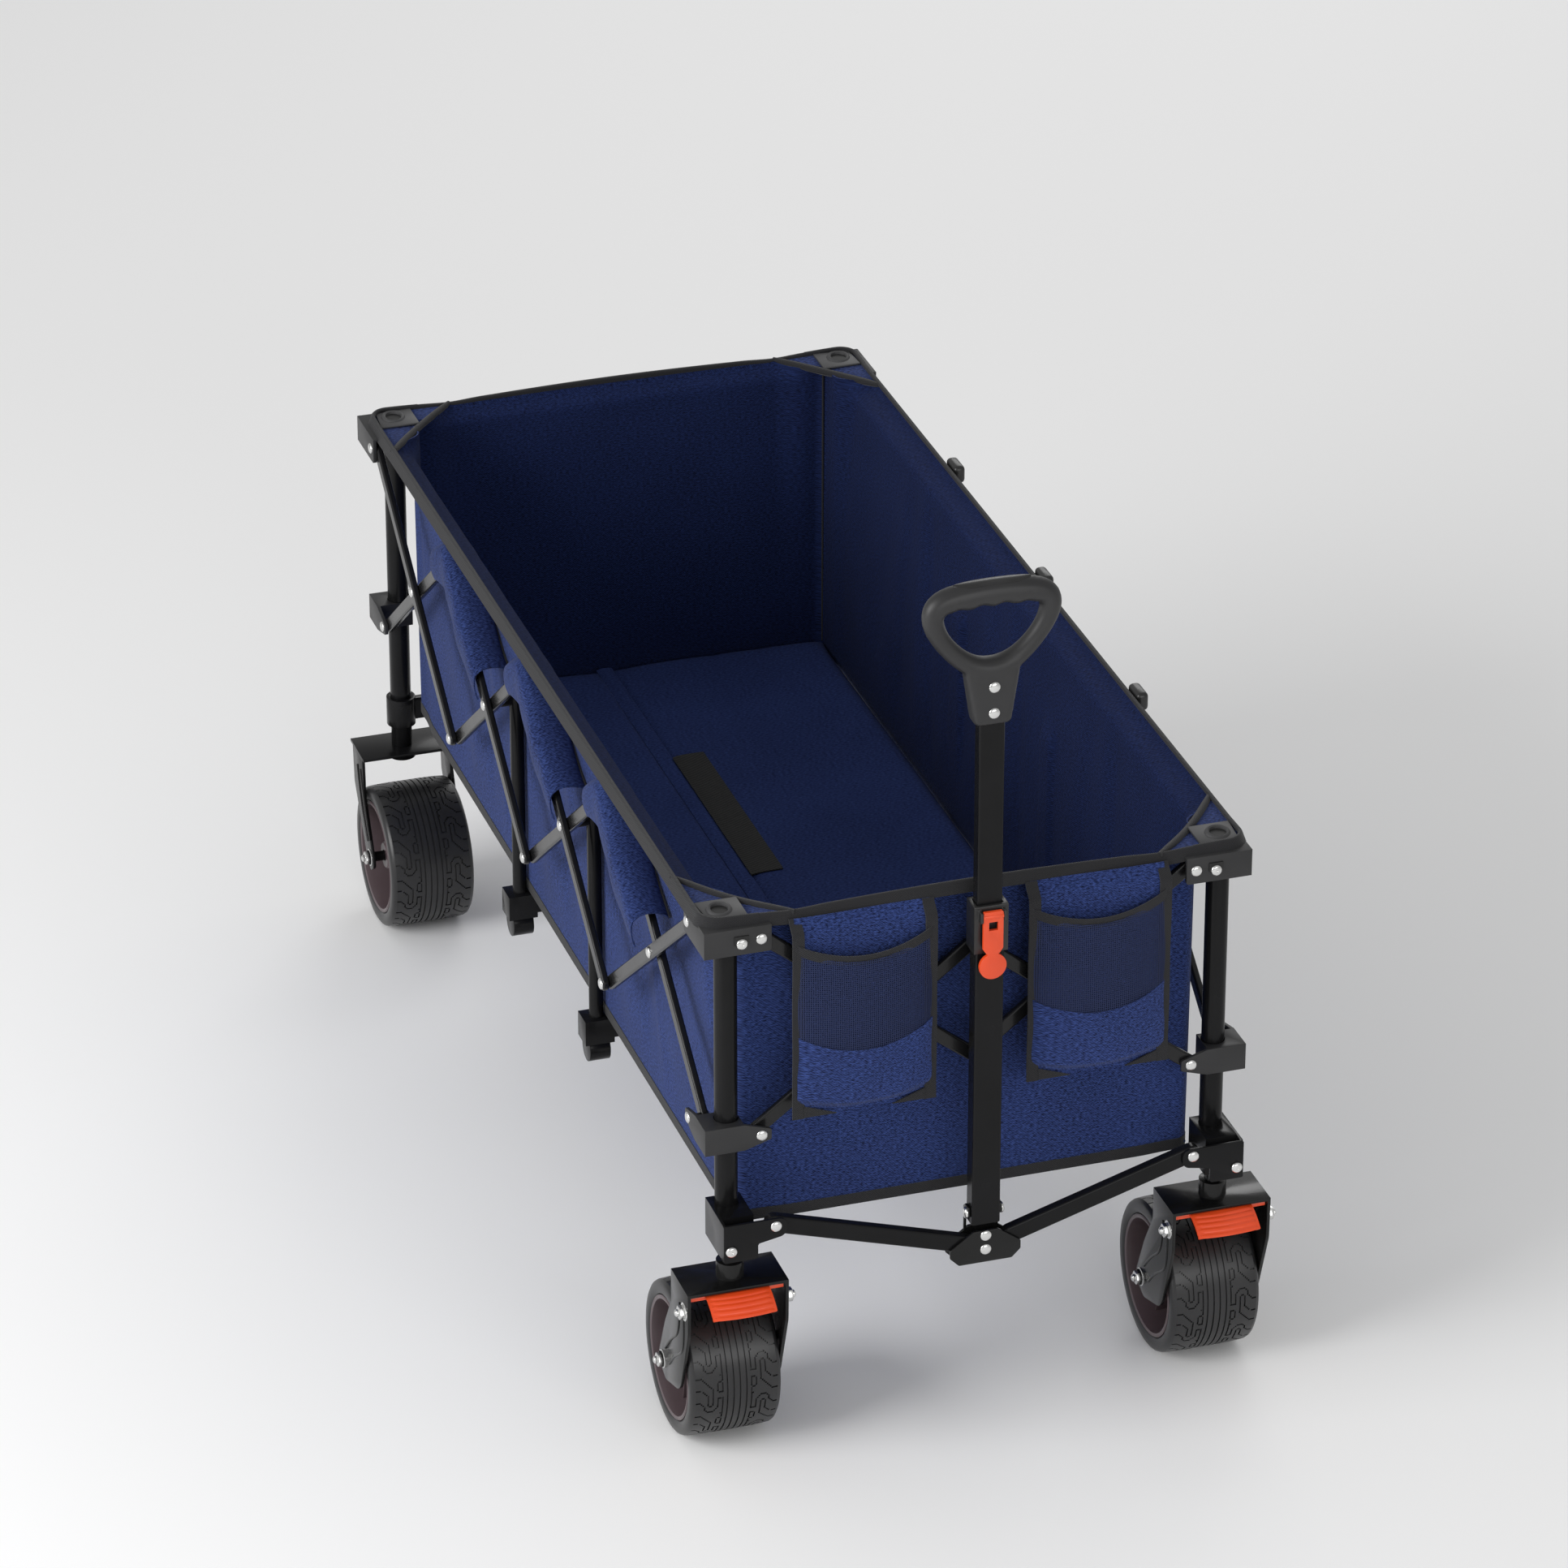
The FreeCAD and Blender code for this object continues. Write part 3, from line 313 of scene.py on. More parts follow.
def add_node(tree, kind, **values):
    node = tree.nodes.new(kind)
    for key, value in values.items():
        setattr(node, key, value)
    return node


def wire(tree, source, target):
    tree.links.new(source, target)


def maths(tree, operation, a, b=None, c=None):
    """A Math node on sockets or plain numbers."""
    node = add_node(tree, "ShaderNodeMath", operation=operation)
    for socket, value in zip(node.inputs, (a, b, c)):
        if value is None:
            continue
        if isinstance(value, (int, float)):
            socket.default_value = value
        else:
            wire(tree, value, socket)
    return node.outputs[0]


def make_weave():
    """Twill: fine diagonal ribs with single lighter and darker threads. Scale is threads per metre."""
    group = Group(
        "twill_weave",
        [("Scale", "NodeSocketFloat", 650.0), ("Heather", "NodeSocketFloat", 0.5)],
        [("Shade", "NodeSocketFloat"), ("Height", "NodeSocketFloat")],
    )
    tree = group.tree
    place = add_node(tree, "ShaderNodeTexCoord").outputs["Object"]
    facing = add_node(tree, "ShaderNodeNewGeometry").outputs["Normal"]
    split, turned_to = (add_node(tree, "ShaderNodeSeparateXYZ") for _ in range(2))
    wire(tree, place, split.inputs[0])
    wire(tree, facing, turned_to.inputs[0])
    flat = maths(tree, "GREATER_THAN", maths(tree, "ABSOLUTE", turned_to.outputs["Z"]), 0.6)
    along_wall = maths(tree, "ADD", split.outputs["X"], split.outputs["Y"])
    u = add_node(tree, "ShaderNodeMix")
    v = add_node(tree, "ShaderNodeMix")
    across, along, height = (split.outputs[axis] for axis in "XYZ")
    for mix, upright, lying in ((u, along_wall, across), (v, height, along)):
        wire(tree, flat, mix.inputs[0])
        wire(tree, upright, mix.inputs[2])
        wire(tree, lying, mix.inputs[3])
    scale = group.given.outputs["Scale"]
    warp = maths(tree, "MULTIPLY", u.outputs[0], scale)
    weft = maths(tree, "MULTIPLY", v.outputs[0], scale)
    twist = math.tau
    rib = maths(tree, "SINE", maths(tree, "MULTIPLY", maths(tree, "ADD", warp, weft), twist * 0.5))
    thread = maths(tree, "SINE", maths(tree, "MULTIPLY", maths(tree, "SUBTRACT", warp, weft), twist))
    raised = maths(tree, "ADD", maths(tree, "MULTIPLY", rib, 0.35), maths(tree, "MULTIPLY", thread, 0.15))
    lay = add_node(tree, "ShaderNodeCombineXYZ")
    wire(tree, maths(tree, "MULTIPLY", warp, 0.35), lay.inputs[0])
    wire(tree, maths(tree, "MULTIPLY", weft, 0.9), lay.inputs[1])
    yarn = add_node(tree, "ShaderNodeTexNoise")
    yarn.inputs["Scale"].default_value = 1.0
    yarn.inputs["Detail"].default_value = 2.0
    wire(tree, lay.outputs[0], yarn.inputs["Vector"])
    speck = maths(tree, "MULTIPLY", maths(tree, "SUBTRACT", yarn.outputs["Fac"], 0.5), 2.4)
    heather = maths(tree, "MULTIPLY", speck, group.given.outputs["Heather"])
    cloudy = add_node(tree, "ShaderNodeTexNoise")
    cloudy.inputs["Scale"].default_value = 9.0
    cloudy.inputs["Detail"].default_value = 3.0
    wire(tree, place, cloudy.inputs["Vector"])
    slow = maths(tree, "MULTIPLY", maths(tree, "SUBTRACT", cloudy.outputs["Fac"], 0.5), 0.3)
    shade = maths(tree, "ADD", maths(tree, "ADD", heather, slow), maths(tree, "MULTIPLY", rib, 0.12))
    wire(tree, maths(tree, "ADD", shade, 0.5), group.result.inputs["Shade"])
    fuzz = maths(tree, "MULTIPLY", heather, 0.3)
    wire(tree, maths(tree, "ADD", raised, fuzz), group.result.inputs["Height"])
    return tree


def make_grain():
    """Fine moulded or sprayed surface: a height for bumps and a slow change of gloss."""
    group = Group(
        "surface_grain",
        [("Scale", "NodeSocketFloat", 900.0), ("Roughness", "NodeSocketFloat", 0.4),
         ("Change", "NodeSocketFloat", 0.1)],
        [("Roughness", "NodeSocketFloat"), ("Height", "NodeSocketFloat"), ("Patch", "NodeSocketFloat")],
    )
    tree = group.tree
    place = add_node(tree, "ShaderNodeTexCoord").outputs["Object"]
    fine = add_node(tree, "ShaderNodeTexNoise")
    fine.inputs["Detail"].default_value = 3.0
    wire(tree, place, fine.inputs["Vector"])
    wire(tree, group.given.outputs["Scale"], fine.inputs["Scale"])
    slow = add_node(tree, "ShaderNodeTexNoise")
    slow.inputs["Scale"].default_value = 24.0
    slow.inputs["Detail"].default_value = 4.0
    wire(tree, place, slow.inputs["Vector"])
    about_zero = maths(tree, "SUBTRACT", slow.outputs["Fac"], 0.5)
    drift = maths(tree, "MULTIPLY", about_zero, group.given.outputs["Change"])
    wire(tree, maths(tree, "ADD", group.given.outputs["Roughness"], drift), group.result.inputs["Roughness"])
    wire(tree, fine.outputs["Fac"], group.result.inputs["Height"])
    wire(tree, slow.outputs["Fac"], group.result.inputs["Patch"])
    return tree


def make_ribbing():
    """Fine cross ribs of woven tape, along whichever way the tape runs."""
    group = Group(
        "tape_ribs", [("Scale", "NodeSocketFloat", 420.0)],
        [("Shade", "NodeSocketFloat"), ("Height", "NodeSocketFloat")],
    )
    tree = group.tree
    place = add_node(tree, "ShaderNodeTexCoord").outputs["Object"]
    split = add_node(tree, "ShaderNodeSeparateXYZ")
    wire(tree, place, split.inputs[0])
    run = maths(tree, "ADD", maths(tree, "ADD", split.outputs["X"], split.outputs["Y"]), split.outputs["Z"])
    ribs = maths(tree, "MULTIPLY", run, group.given.outputs["Scale"])
    wave = maths(tree, "SINE", maths(tree, "MULTIPLY", ribs, math.tau))
    wire(tree, maths(tree, "ADD", maths(tree, "MULTIPLY", wave, 0.12), 0.5), group.result.inputs["Shade"])
    wire(tree, wave, group.result.inputs["Height"])
    return tree


WEAVE = make_weave()
GRAIN = make_grain()
RIBBING = make_ribbing()


# ---- finishes --------------------------------------------------------------------------------

def new_finish(name, **sockets):
    """A material with a Principled shader; returns material, tree and shader."""
    material = bpy.data.materials.new(name)
    material.use_nodes = True
    tree = material.node_tree
    shader = tree.nodes["Principled BSDF"]
    for key, value in sockets.items():
        shader.inputs[key.replace("_", " ")].default_value = value
    return material, tree, shader


def group_node(tree, group, **values):
    node = add_node(tree, "ShaderNodeGroup", node_tree=group)
    for key, value in values.items():
        node.inputs[key].default_value = value
    return node


def bump(tree, shader, height, strength, distance):
    node = add_node(tree, "ShaderNodeBump")
    node.inputs["Strength"].default_value = strength
    node.inputs["Distance"].default_value = distance
    wire(tree, height, node.inputs["Height"])
    wire(tree, node.outputs[0], shader.inputs["Normal"])


def shade_between(tree, shader, amount, dark, light):
    ramp = add_node(tree, "ShaderNodeValToRGB")
    ramp.color_ramp.elements[0].color = (*dark, 1)
    ramp.color_ramp.elements[1].color = (*light, 1)
    wire(tree, amount, ramp.inputs[0])
    wire(tree, ramp.outputs[0], shader.inputs["Base Color"])
    return ramp


def cloth_finish(name, dark, light, scale=650.0, heather=0.6, sheen=0.1, strength=0.7):
    material, tree, shader = new_finish(
        name, Roughness=0.88, Sheen_Weight=sheen, Sheen_Roughness=0.5, Specular_IOR_Level=0.12,
    )
    weave = group_node(tree, WEAVE, Scale=scale, Heather=heather)
    shade_between(tree, shader, weave.outputs["Shade"], dark, light)
    bump(tree, shader, weave.outputs["Height"], strength, 0.0006)
    return material


def tape_finish(name, dark, light, scale=420.0):
    material, tree, shader = new_finish(name, Roughness=0.78, Sheen_Weight=0.15, Specular_IOR_Level=0.3)
    ribs = group_node(tree, RIBBING, Scale=scale)
    shade_between(tree, shader, ribs.outputs["Shade"], dark, light)
    bump(tree, shader, ribs.outputs["Height"], 0.5, 0.0004)
    return material


def hard_finish(name, dark, light, roughness, grain=900.0, strength=0.12, **sockets):
    material, tree, shader = new_finish(name, **sockets)
    skin = group_node(tree, GRAIN, Scale=grain, Roughness=roughness, Change=0.12)
    shade_between(tree, shader, skin.outputs["Patch"], dark, light)
    wire(tree, skin.outputs["Roughness"], shader.inputs["Roughness"])
    bump(tree, shader, skin.outputs["Height"], strength, 0.2 * MM)
    return material


MESH_PITCH = 4.6 * MM


def mesh_finish(name):
    """Open knitted mesh: holes in a diagonal lattice."""
    material, tree, shader = new_finish(name, Roughness=0.8, Specular_IOR_Level=0.3)
    place = add_node(tree, "ShaderNodeTexCoord").outputs["Object"]
    split = add_node(tree, "ShaderNodeSeparateXYZ")
    wire(tree, place, split.inputs[0])
    pitch = math.tau / MESH_PITCH
    across = maths(tree, "MULTIPLY", maths(tree, "ADD", split.outputs["X"], split.outputs["Z"]), pitch)
    up = maths(tree, "MULTIPLY", maths(tree, "SUBTRACT", split.outputs["X"], split.outputs["Z"]), pitch)
    lattice = maths(tree, "MULTIPLY", maths(tree, "SINE", across), maths(tree, "SINE", up))
    thread = maths(tree, "LESS_THAN", lattice, 0.12)
    wire(tree, thread, shader.inputs["Alpha"])
    amount = maths(tree, "ADD", maths(tree, "MULTIPLY", lattice, 0.5), 0.5)
    shade_between(tree, shader, amount, (0.012, 0.018, 0.055), (0.028, 0.042, 0.12))
    return material


NAVY = cloth_finish(
    "navy_twill", (0.003, 0.006, 0.030), (0.042, 0.074, 0.255),
    scale=700.0, heather=1.0, sheen=0.06,
)
# the inner faces: the same navy twill in darker colours, painted shade for the inside of the body
NAVY_SHADED_INSIDE = cloth_finish(
    "navy_inside_painted_shade", (0.002, 0.004, 0.020), (0.012, 0.024, 0.096),
    scale=700.0, heather=0.9, sheen=0.02,
)
NAVY_MAT = cloth_finish(
    "navy_mat_cloth", (0.006, 0.010, 0.045), (0.040, 0.070, 0.235),
    scale=700.0, heather=0.7, strength=0.35, sheen=0.02,
)
# the flaps' outer faces: the same navy twill in darker colours, painted shade
NAVY_SHADED_FLAP = cloth_finish(
    "navy_flap_painted_shade", (0.003, 0.006, 0.030), (0.036, 0.062, 0.205),
    scale=700.0, heather=0.9, sheen=0.06, strength=0.3,
)
TAPE = tape_finish("charcoal_tape", (0.006, 0.006, 0.007), (0.022, 0.022, 0.025))
SEAM = tape_finish("black_seam", (0.004, 0.004, 0.005), (0.016, 0.016, 0.02), scale=600.0)
HOOK = tape_finish("hook_strip", (0.004, 0.004, 0.004), (0.028, 0.028, 0.024), scale=260.0)
MESH = mesh_finish("pocket_mesh")
POST_PAINT = hard_finish(
    "post_powder_coat", (0.005, 0.005, 0.005), (0.009, 0.009, 0.010), 0.25,
    Coat_Weight=0.04, Specular_IOR_Level=0.14,
)
BAR_PAINT = hard_finish(
    "bar_powder_coat", (0.007, 0.007, 0.007), (0.012, 0.012, 0.013), 0.24,
    Coat_Weight=0.1, Specular_IOR_Level=0.25,
)
FORK_PAINT = hard_finish(
    "fork_gloss_coat", (0.004, 0.004, 0.004), (0.008, 0.008, 0.008), 0.2,
    Coat_Weight=0.1, Specular_IOR_Level=0.25,
)
BRACKET = hard_finish(
    "bracket_nylon", (0.019, 0.019, 0.020), (0.029, 0.029, 0.030), 0.46, grain=1400.0, strength=0.2,
    Specular_IOR_Level=0.35,
)
PLATE = hard_finish(
    "corner_plate_nylon", (0.036, 0.036, 0.038), (0.052, 0.052, 0.054), 0.5, grain=1400.0, strength=0.2,
)
ZINC = hard_finish("zinc_rivet", (0.62, 0.62, 0.61), (0.8, 0.8, 0.79), 0.26, Metallic=1.0)
RUBBER = hard_finish(
    "tyre_rubber", (0.010, 0.010, 0.011), (0.022, 0.022, 0.023), 0.36, grain=700.0, strength=0.18,
    Specular_IOR_Level=0.5,
)
RIM_MAUVE = hard_finish("rim_plastic", (0.075, 0.052, 0.058), (0.1, 0.072, 0.078), 0.34, grain=1200.0)
SIGNAL = hard_finish(
    "signal_orange", (0.72, 0.055, 0.008), (0.82, 0.08, 0.014), 0.36, grain=1200.0, Coat_Weight=0.1,
)
GRIP = hard_finish("soft_grip", (0.013, 0.013, 0.014), (0.02, 0.02, 0.021), 0.48, grain=1300.0, strength=0.25)
COLLAR = hard_finish("collar_nylon", (0.01, 0.01, 0.01), (0.017, 0.017, 0.017), 0.34)
# near-black finish for the socket discs and bracket slots: painted shade of their depth
HOLE_SHADE = hard_finish("shaded_socket", (0.003, 0.003, 0.003), (0.006, 0.006, 0.006), 0.6)


# ---- CAD parts that keep their shape ---------------------------------------------------------

def from_frame(node, body, finish, edge, angle=35):
    """Stands for a CAD node: the same shape with its sharp edges broken."""
    piece = frame["nodes"][node].copy()
    piece.data = piece.data.copy()
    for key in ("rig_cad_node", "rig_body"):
        del piece[key]
    piece.parent = None
    piece.data.transform(Matrix.Translation(-SHIFT))
    bpy.context.scene.collection.objects.link(piece)
    pick(piece)
    bpy.ops.object.mode_set(mode="EDIT")
    bpy.ops.mesh.select_all(action="SELECT")
    bpy.ops.mesh.remove_doubles(threshold=2e-6)
    bpy.ops.mesh.dissolve_limited(angle_limit=math.radians(1))
    leave_edit()
    if edge:
        apply_modifier(
            piece, "BEVEL", width=edge, segments=2, limit_method="ANGLE", angle_limit=math.radians(40),
        )
    finish_piece(piece, node + "_shell", finish, body, angle)
    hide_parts(node)
    return piece


def paint(node, finish):
    """Gives a CAD node a finish."""
    materials = frame["nodes"][node].data.materials
    materials.clear()
    materials.append(finish)


for side in SIDES:
    for number in range(1, 5):
        paint(f"{side}_fall_bar_{number}", BAR_PAINT)
        paint(f"{side}_rise_bar_{number}", BAR_PAINT)
    for number in (1, 2):
        name = f"{side}_mid_post_{number}"
        from_frame(name, name, POST_PAINT, 1.2 * MM)
    for end in ENDS:
        from_frame(f"{end}_{side}_post", f"{end}_{side}_frame", POST_PAINT, 0.8 * MM)
        from_frame(f"{end}_{side}_top_bracket", f"{end}_{side}_frame", BRACKET, 1.2 * MM)
        from_frame(f"{end}_{side}_slider", f"{end}_{side}_slider", BRACKET, 1.2 * MM)
    from_frame(f"front_{side}_fork", f"front_{side}_fork", FORK_PAINT, 1.2 * MM)
    paint(f"front_{side}_lower_link", POST_PAINT)
for end in ENDS:
    for name in ("fall_bar_1", "rise_bar_1", "rise_bar_2", "fall_bar_2"):
        paint(f"{end}_{name}", BAR_PAINT)
from_frame("handle_hub", "handle_hub", FORK_PAINT, 1.0 * MM)
from_frame("handle_collar", "handle_tube", COLLAR, 1.2 * MM)
from_frame("latch_key", "latch_key", SIGNAL, 0.8 * MM)
paint("handle_lower_tube", POST_PAINT)
paint("handle_upper_tube", POST_PAINT)


# ---- rivets, screws and bolts ----------------------------------------------------------------

def dome_rivet(centre, axis, radius=6.4 * MM, height=2.6 * MM):
    """Low bright dome with a small flat rim."""
    profile = [(0.0001, height)]
    for step in range(1, 6):
        turn = math.radians(15 * step)
        profile.append((radius * math.sin(turn), height * math.cos(turn) + 0.2 * MM))
    profile += [(radius, 0.3 * MM), (radius, -0.8 * MM), (0.0001, -0.8 * MM)]
    return turned(profile, centre, axis, 20)


def hex_bolt(centre, axis):
    """Hexagon nut on a washer, with the bolt's rounded end standing out of it."""
    washer = turned(
        [(0.0001, 1.4 * MM), (9.6 * MM, 1.4 * MM), (10.4 * MM, 0.9 * MM), (10.4 * MM, 0), (0.0001, 0)],
        centre, axis, 24,
    )
    bpy.ops.object.select_all(action="DESELECT")
    bpy.ops.mesh.primitive_cylinder_add(vertices=6, radius=8.2 * MM, depth=6 * MM, location=(0, 0, 4.2 * MM))
    nut = settle(bpy.context.active_object)
    apply_modifier(nut, "BEVEL", width=0.8 * MM, segments=2)
    nut.data.transform(Matrix.Translation(centre) @ turn_to(axis))
    tip = turned(
        [(0.0001, 11 * MM), (2.6 * MM, 10.8 * MM), (4.2 * MM, 9.4 * MM), (4.2 * MM, 5 * MM), (0.0001, 5 * MM)],
        centre, axis, 20,
    )
    return join([washer, nut, tip])


def cross_screw(centre, axis):
    """Pan head with a sunk cross."""
    profile = [
        (0.0001, 1.6 * MM), (1.2 * MM, 2.9 * MM), (4.4 * MM, 2.7 * MM), (5.9 * MM, 1.7 * MM),
        (6.4 * MM, 0.2 * MM), (6.4 * MM, -0.8 * MM), (0.0001, -0.8 * MM),
    ]
    return turned(profile, centre, axis, 24)


def at_joint(joint, node, axis, sign, lift=-1.0 * MM):
    """Place of a rivet head: the joint's pin, at the node's outermost face."""
    place = joint_place(joint)
    place[axis] = edge_of(node, axis, sign) + sign * lift
    return place


rivet_places = {}


def rivet_at(body, place, axis):
    rivet_places.setdefault(body, []).append((tuple(place), tuple(axis)))


for side, sx in SIDES.items():
    out = (sx, 0, 0)
    bars = [
        ("fall_bar_1", "rise_1"), ("rise_bar_1", "fall_2"), ("rise_bar_2", "fall_3"), ("rise_bar_2", "rise_2"),
        ("rise_bar_3", "fall_4"), ("rise_bar_3", "rise_3"), ("rise_bar_4", "rise_4"),
    ]
    for bar, joint in bars:
        node = f"{side}_{bar}"
        rivet_at(node, at_joint(f"{side}_{joint}", node, 0, sx), out)
    last = at_joint(f"{side}_rise_4", f"{side}_rise_bar_4", 0, sx)
    last.y += HALF_CELL
    last.z = joint_place(f"{side}_rise_1").z
    rivet_at(f"{side}_rise_bar_4", last, out)
    for number in (1, 2):
        name = f"{side}_mid_post_{number}"
        place = joint_place(f"{name}_pivot")
        place.x = sx * (abs(box(f"{side}_rise_bar_2")[0 if sx < 0 else 1].x) - 1.0 * MM)
        rivet_at(name, place, out)
    for end, sy in ENDS.items():
        for part, height in (("top_bracket", TOP_PIN_Z), ("slider", joint_place("front_left_slide_pivot").z)):
            node = f"{end}_{side}_{part}"
            body = f"{end}_{side}_frame" if part == "top_bracket" else node
            rivet_at(body, (edge_of(node, 0, sx) - sx * 1.0 * MM, sy * PIN_Y, height), out)
            rivet_at(body, (sx * PIN_X, edge_of(node, 1, sy) - sy * 1.0 * MM, height), (0, sy, 0))
    link_pin = at_joint(f"{side}_lower_link_pivot", f"front_{side}_post", 1, -1)
    rivet_at(f"front_{side}_frame", link_pin, (0, -1, 0))
hub_face = edge_of("handle_hub", 1, -1) + 1.0 * MM
for drop in (0, 17 * MM):
    rivet_at("handle_hub", (0, hub_face, joint_place("hub_pivot").z + drop), (0, -1, 0))
for side, sx in SIDES.items():
    tilt = joint_place("handle_tilt")
    rivet_at("handle_hub", (sx * 20.2 * MM, tilt.y, tilt.z), (sx, 0, 0))
for end, sy in ENDS.items():
    for joint in (f"{end}_rise_1", f"{end}_rise_2"):
        rivet_at(f"{end}_fall_bar_1", at_joint(joint, f"{end}_fall_bar_1", 1, sy), (0, sy, 0))
    rivet_at(f"{end}_fall_bar_2", at_joint(f"{end}_fall_2", f"{end}_fall_bar_2", 1, sy), (0, sy, 0))
    crossing = at_joint(f"{end}_rise_1", f"{end}_fall_bar_2", 1, sy)
    crossing.x = -crossing.x
    rivet_at(f"{end}_fall_bar_2", crossing, (0, sy, 0))

for body, places in rivet_places.items():
    heads = [dome_rivet(place, axis) for place, axis in places]
    finish_piece(join(heads), body + "_rivets", ZINC, body, 60)


# ---- wheels ----------------------------------------------------------------------------------

# one repeat of the tread's outer band, from the shoulder (left) to the middle ribs (right)
TREAD_TILE = (
    "...............##",
    "................#",
    ".......####.....#",
    "......#....#....#",
    ".....#......#...#",
    ".....#.......#..#",
    ".....#..##...#..#",
    "....#..#..#..#..#",
    "...#...#..#..#..#",
    "###....#..#..#..#",
    ".......#..#..#..#",
    ".......#..#..####",
    ".......#..#......",
    ".......#..#......",
    "......#...#......",
    ".....#....#...###",
    "....#.....#..#..#",
    "###.......#..#..#",
    ".........#...#..#",
    "........#....#..#",
    ".......#.....#..#",
    "......#.......##.",
    ".....#..........#",
    "....#...........#",
    "####............#",
)
MIDDLE_RIBS = "..#...#...#...#.."
TILES = 11


def build_tyre(centre, half_width, radius, bead_radius):
    """Wide tyre: a tread sheet with sunk grooves, rolled up and closed by its shoulders."""
    rows = TILES * len(TREAD_TILE)
    columns = 2 * len(TREAD_TILE[0]) + len(MIDDLE_RIBS)
    shoulder = 5 * MM
    width = 2 * (half_width - shoulder)
    bpy.ops.object.select_all(action="DESELECT")
    bpy.ops.mesh.primitive_grid_add(x_subdivisions=columns, y_subdivisions=rows, size=1)
    tyre = bpy.context.active_object

    def is_groove(face):
        column = int((face.center.x + 0.5) * columns)
        row = int((face.center.y + 0.5) * rows)
        band = len(TREAD_TILE[0])
        if band <= column < columns - band:
            return MIDDLE_RIBS[column - band] == "#"
        if column < band:
            return TREAD_TILE[row % len(TREAD_TILE)][column] == "#"
        shifted = (rows - 1 - row + len(TREAD_TILE) // 2) % len(TREAD_TILE)
        return TREAD_TILE[shifted][columns - 1 - column] == "#"

    pick_faces(tyre, is_groove)
    bpy.ops.mesh.extrude_region_move(TRANSFORM_OT_translate={"value": (0, 0, -1.8 * MM)})
    leave_edit()
    for vertex in tyre.data.vertices:
        x, y, sink = vertex.co
        turn = y * math.tau
        out = radius + sink - 1.2 * MM * (2 * x) ** 4
        vertex.co = (x * width, out * math.sin(turn), out * math.cos(turn))
    clean(tyre, 2e-5)
    edge_radius = radius - 1.2 * MM
    walls = []
    for side in (-1, 1):
        profile = [
            (edge_radius, side * width / 2), (edge_radius - 1.2 * MM, side * (width / 2 + 2.8 * MM)),
            (edge_radius - 4.5 * MM, side * half_width), (edge_radius - 10 * MM, side * (half_width + 0.2 * MM)),
            (bead_radius + 2 * MM, side * (half_width - 0.8 * MM)), (bead_radius, side * (half_width - 3 * MM)),
            (bead_radius - 1.5 * MM, side * (half_width - 8 * MM)),
        ]
        walls.append(turned(profile, (0, 0, 0), (1, 0, 0), 96))
    tyre = join([tyre] + walls)
    tyre.data.transform(Matrix.Translation(centre))
    return tyre


def build_rim(centre, half_width, radius):
    """Deep dished rim: two lipped barrels, a web in the middle, a hub and thin radial ribs."""
    parts = []
    web = 8 * MM
    barrel = [
        (radius - 1 * MM, -half_width + 6 * MM), (radius, -half_width + 1.5 * MM),
        (radius - 1.5 * MM, -half_width + 0.5 * MM), (radius - 4.5 * MM, -half_width + 1.5 * MM),
        (radius - 6 * MM, -half_width + 8 * MM), (radius - 9 * MM, -web), (19 * MM, -web),
        (17 * MM, -half_width + 14 * MM), (15 * MM, -half_width + 12 * MM), (7 * MM, -half_width + 12 * MM),
    ]
    whole = barrel + [(r, -s) for r, s in reversed(barrel)]
    parts.append(turned(whole, (0, 0, 0), (1, 0, 0), 64))
    for side in (-1, 1):
        for step in range(5):
            low = (side * (web - 1 * MM), -1.0 * MM, 16 * MM)
            high = (side * (half_width - 20 * MM), 1.0 * MM, radius - 7 * MM)
            rib = rounded_block(
                [min(pair) for pair in zip(low, high)], [max(pair) for pair in zip(low, high)], 0.5 * MM, 2,
            )
            rib.data.transform(Matrix.Rotation(math.tau * (step + 0.15 + 0.25 * side) / 5, 4, "X"))
            parts.append(rib)
    rim = join(parts)
    rim.data.transform(Matrix.Translation(centre))
    return rim


wheel_low, wheel_high = box("front_left_wheel")
wheel_middle = (wheel_low + wheel_high) / 2
WHEEL_HALF = (wheel_high.x - wheel_low.x) / 2
WHEEL_R = (wheel_high.z - wheel_low.z) / 2
RIM_R = 69 * MM
first_tyre = build_tyre(wheel_middle, WHEEL_HALF, WHEEL_R, RIM_R)
first_rim = build_rim(wheel_middle, WHEEL_HALF, RIM_R)
for end in ENDS:
    for side, sx in SIDES.items():
        name = f"{end}_{side}_wheel"
        low, high = box(name)
        shift = (low + high) / 2 - wheel_middle
        turn = Matrix.Rotation(math.radians(40 * (sx + 1) + 25 * len(end)), 4, "X")
        tyre = copy_of(first_tyre, shift, turn, wheel_middle)
        rim = copy_of(first_rim, shift, turn, wheel_middle)
        finish_piece(tyre, name + "_tyre", RUBBER, name, 40)
        finish_piece(rim, name + "_rim", RIM_MAUVE, name, 35)
        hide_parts(name)
bpy.data.objects.remove(first_tyre)
bpy.data.objects.remove(first_rim)


# ---- forks: pressed ribs, bolts and pedals ---------------------------------------------------

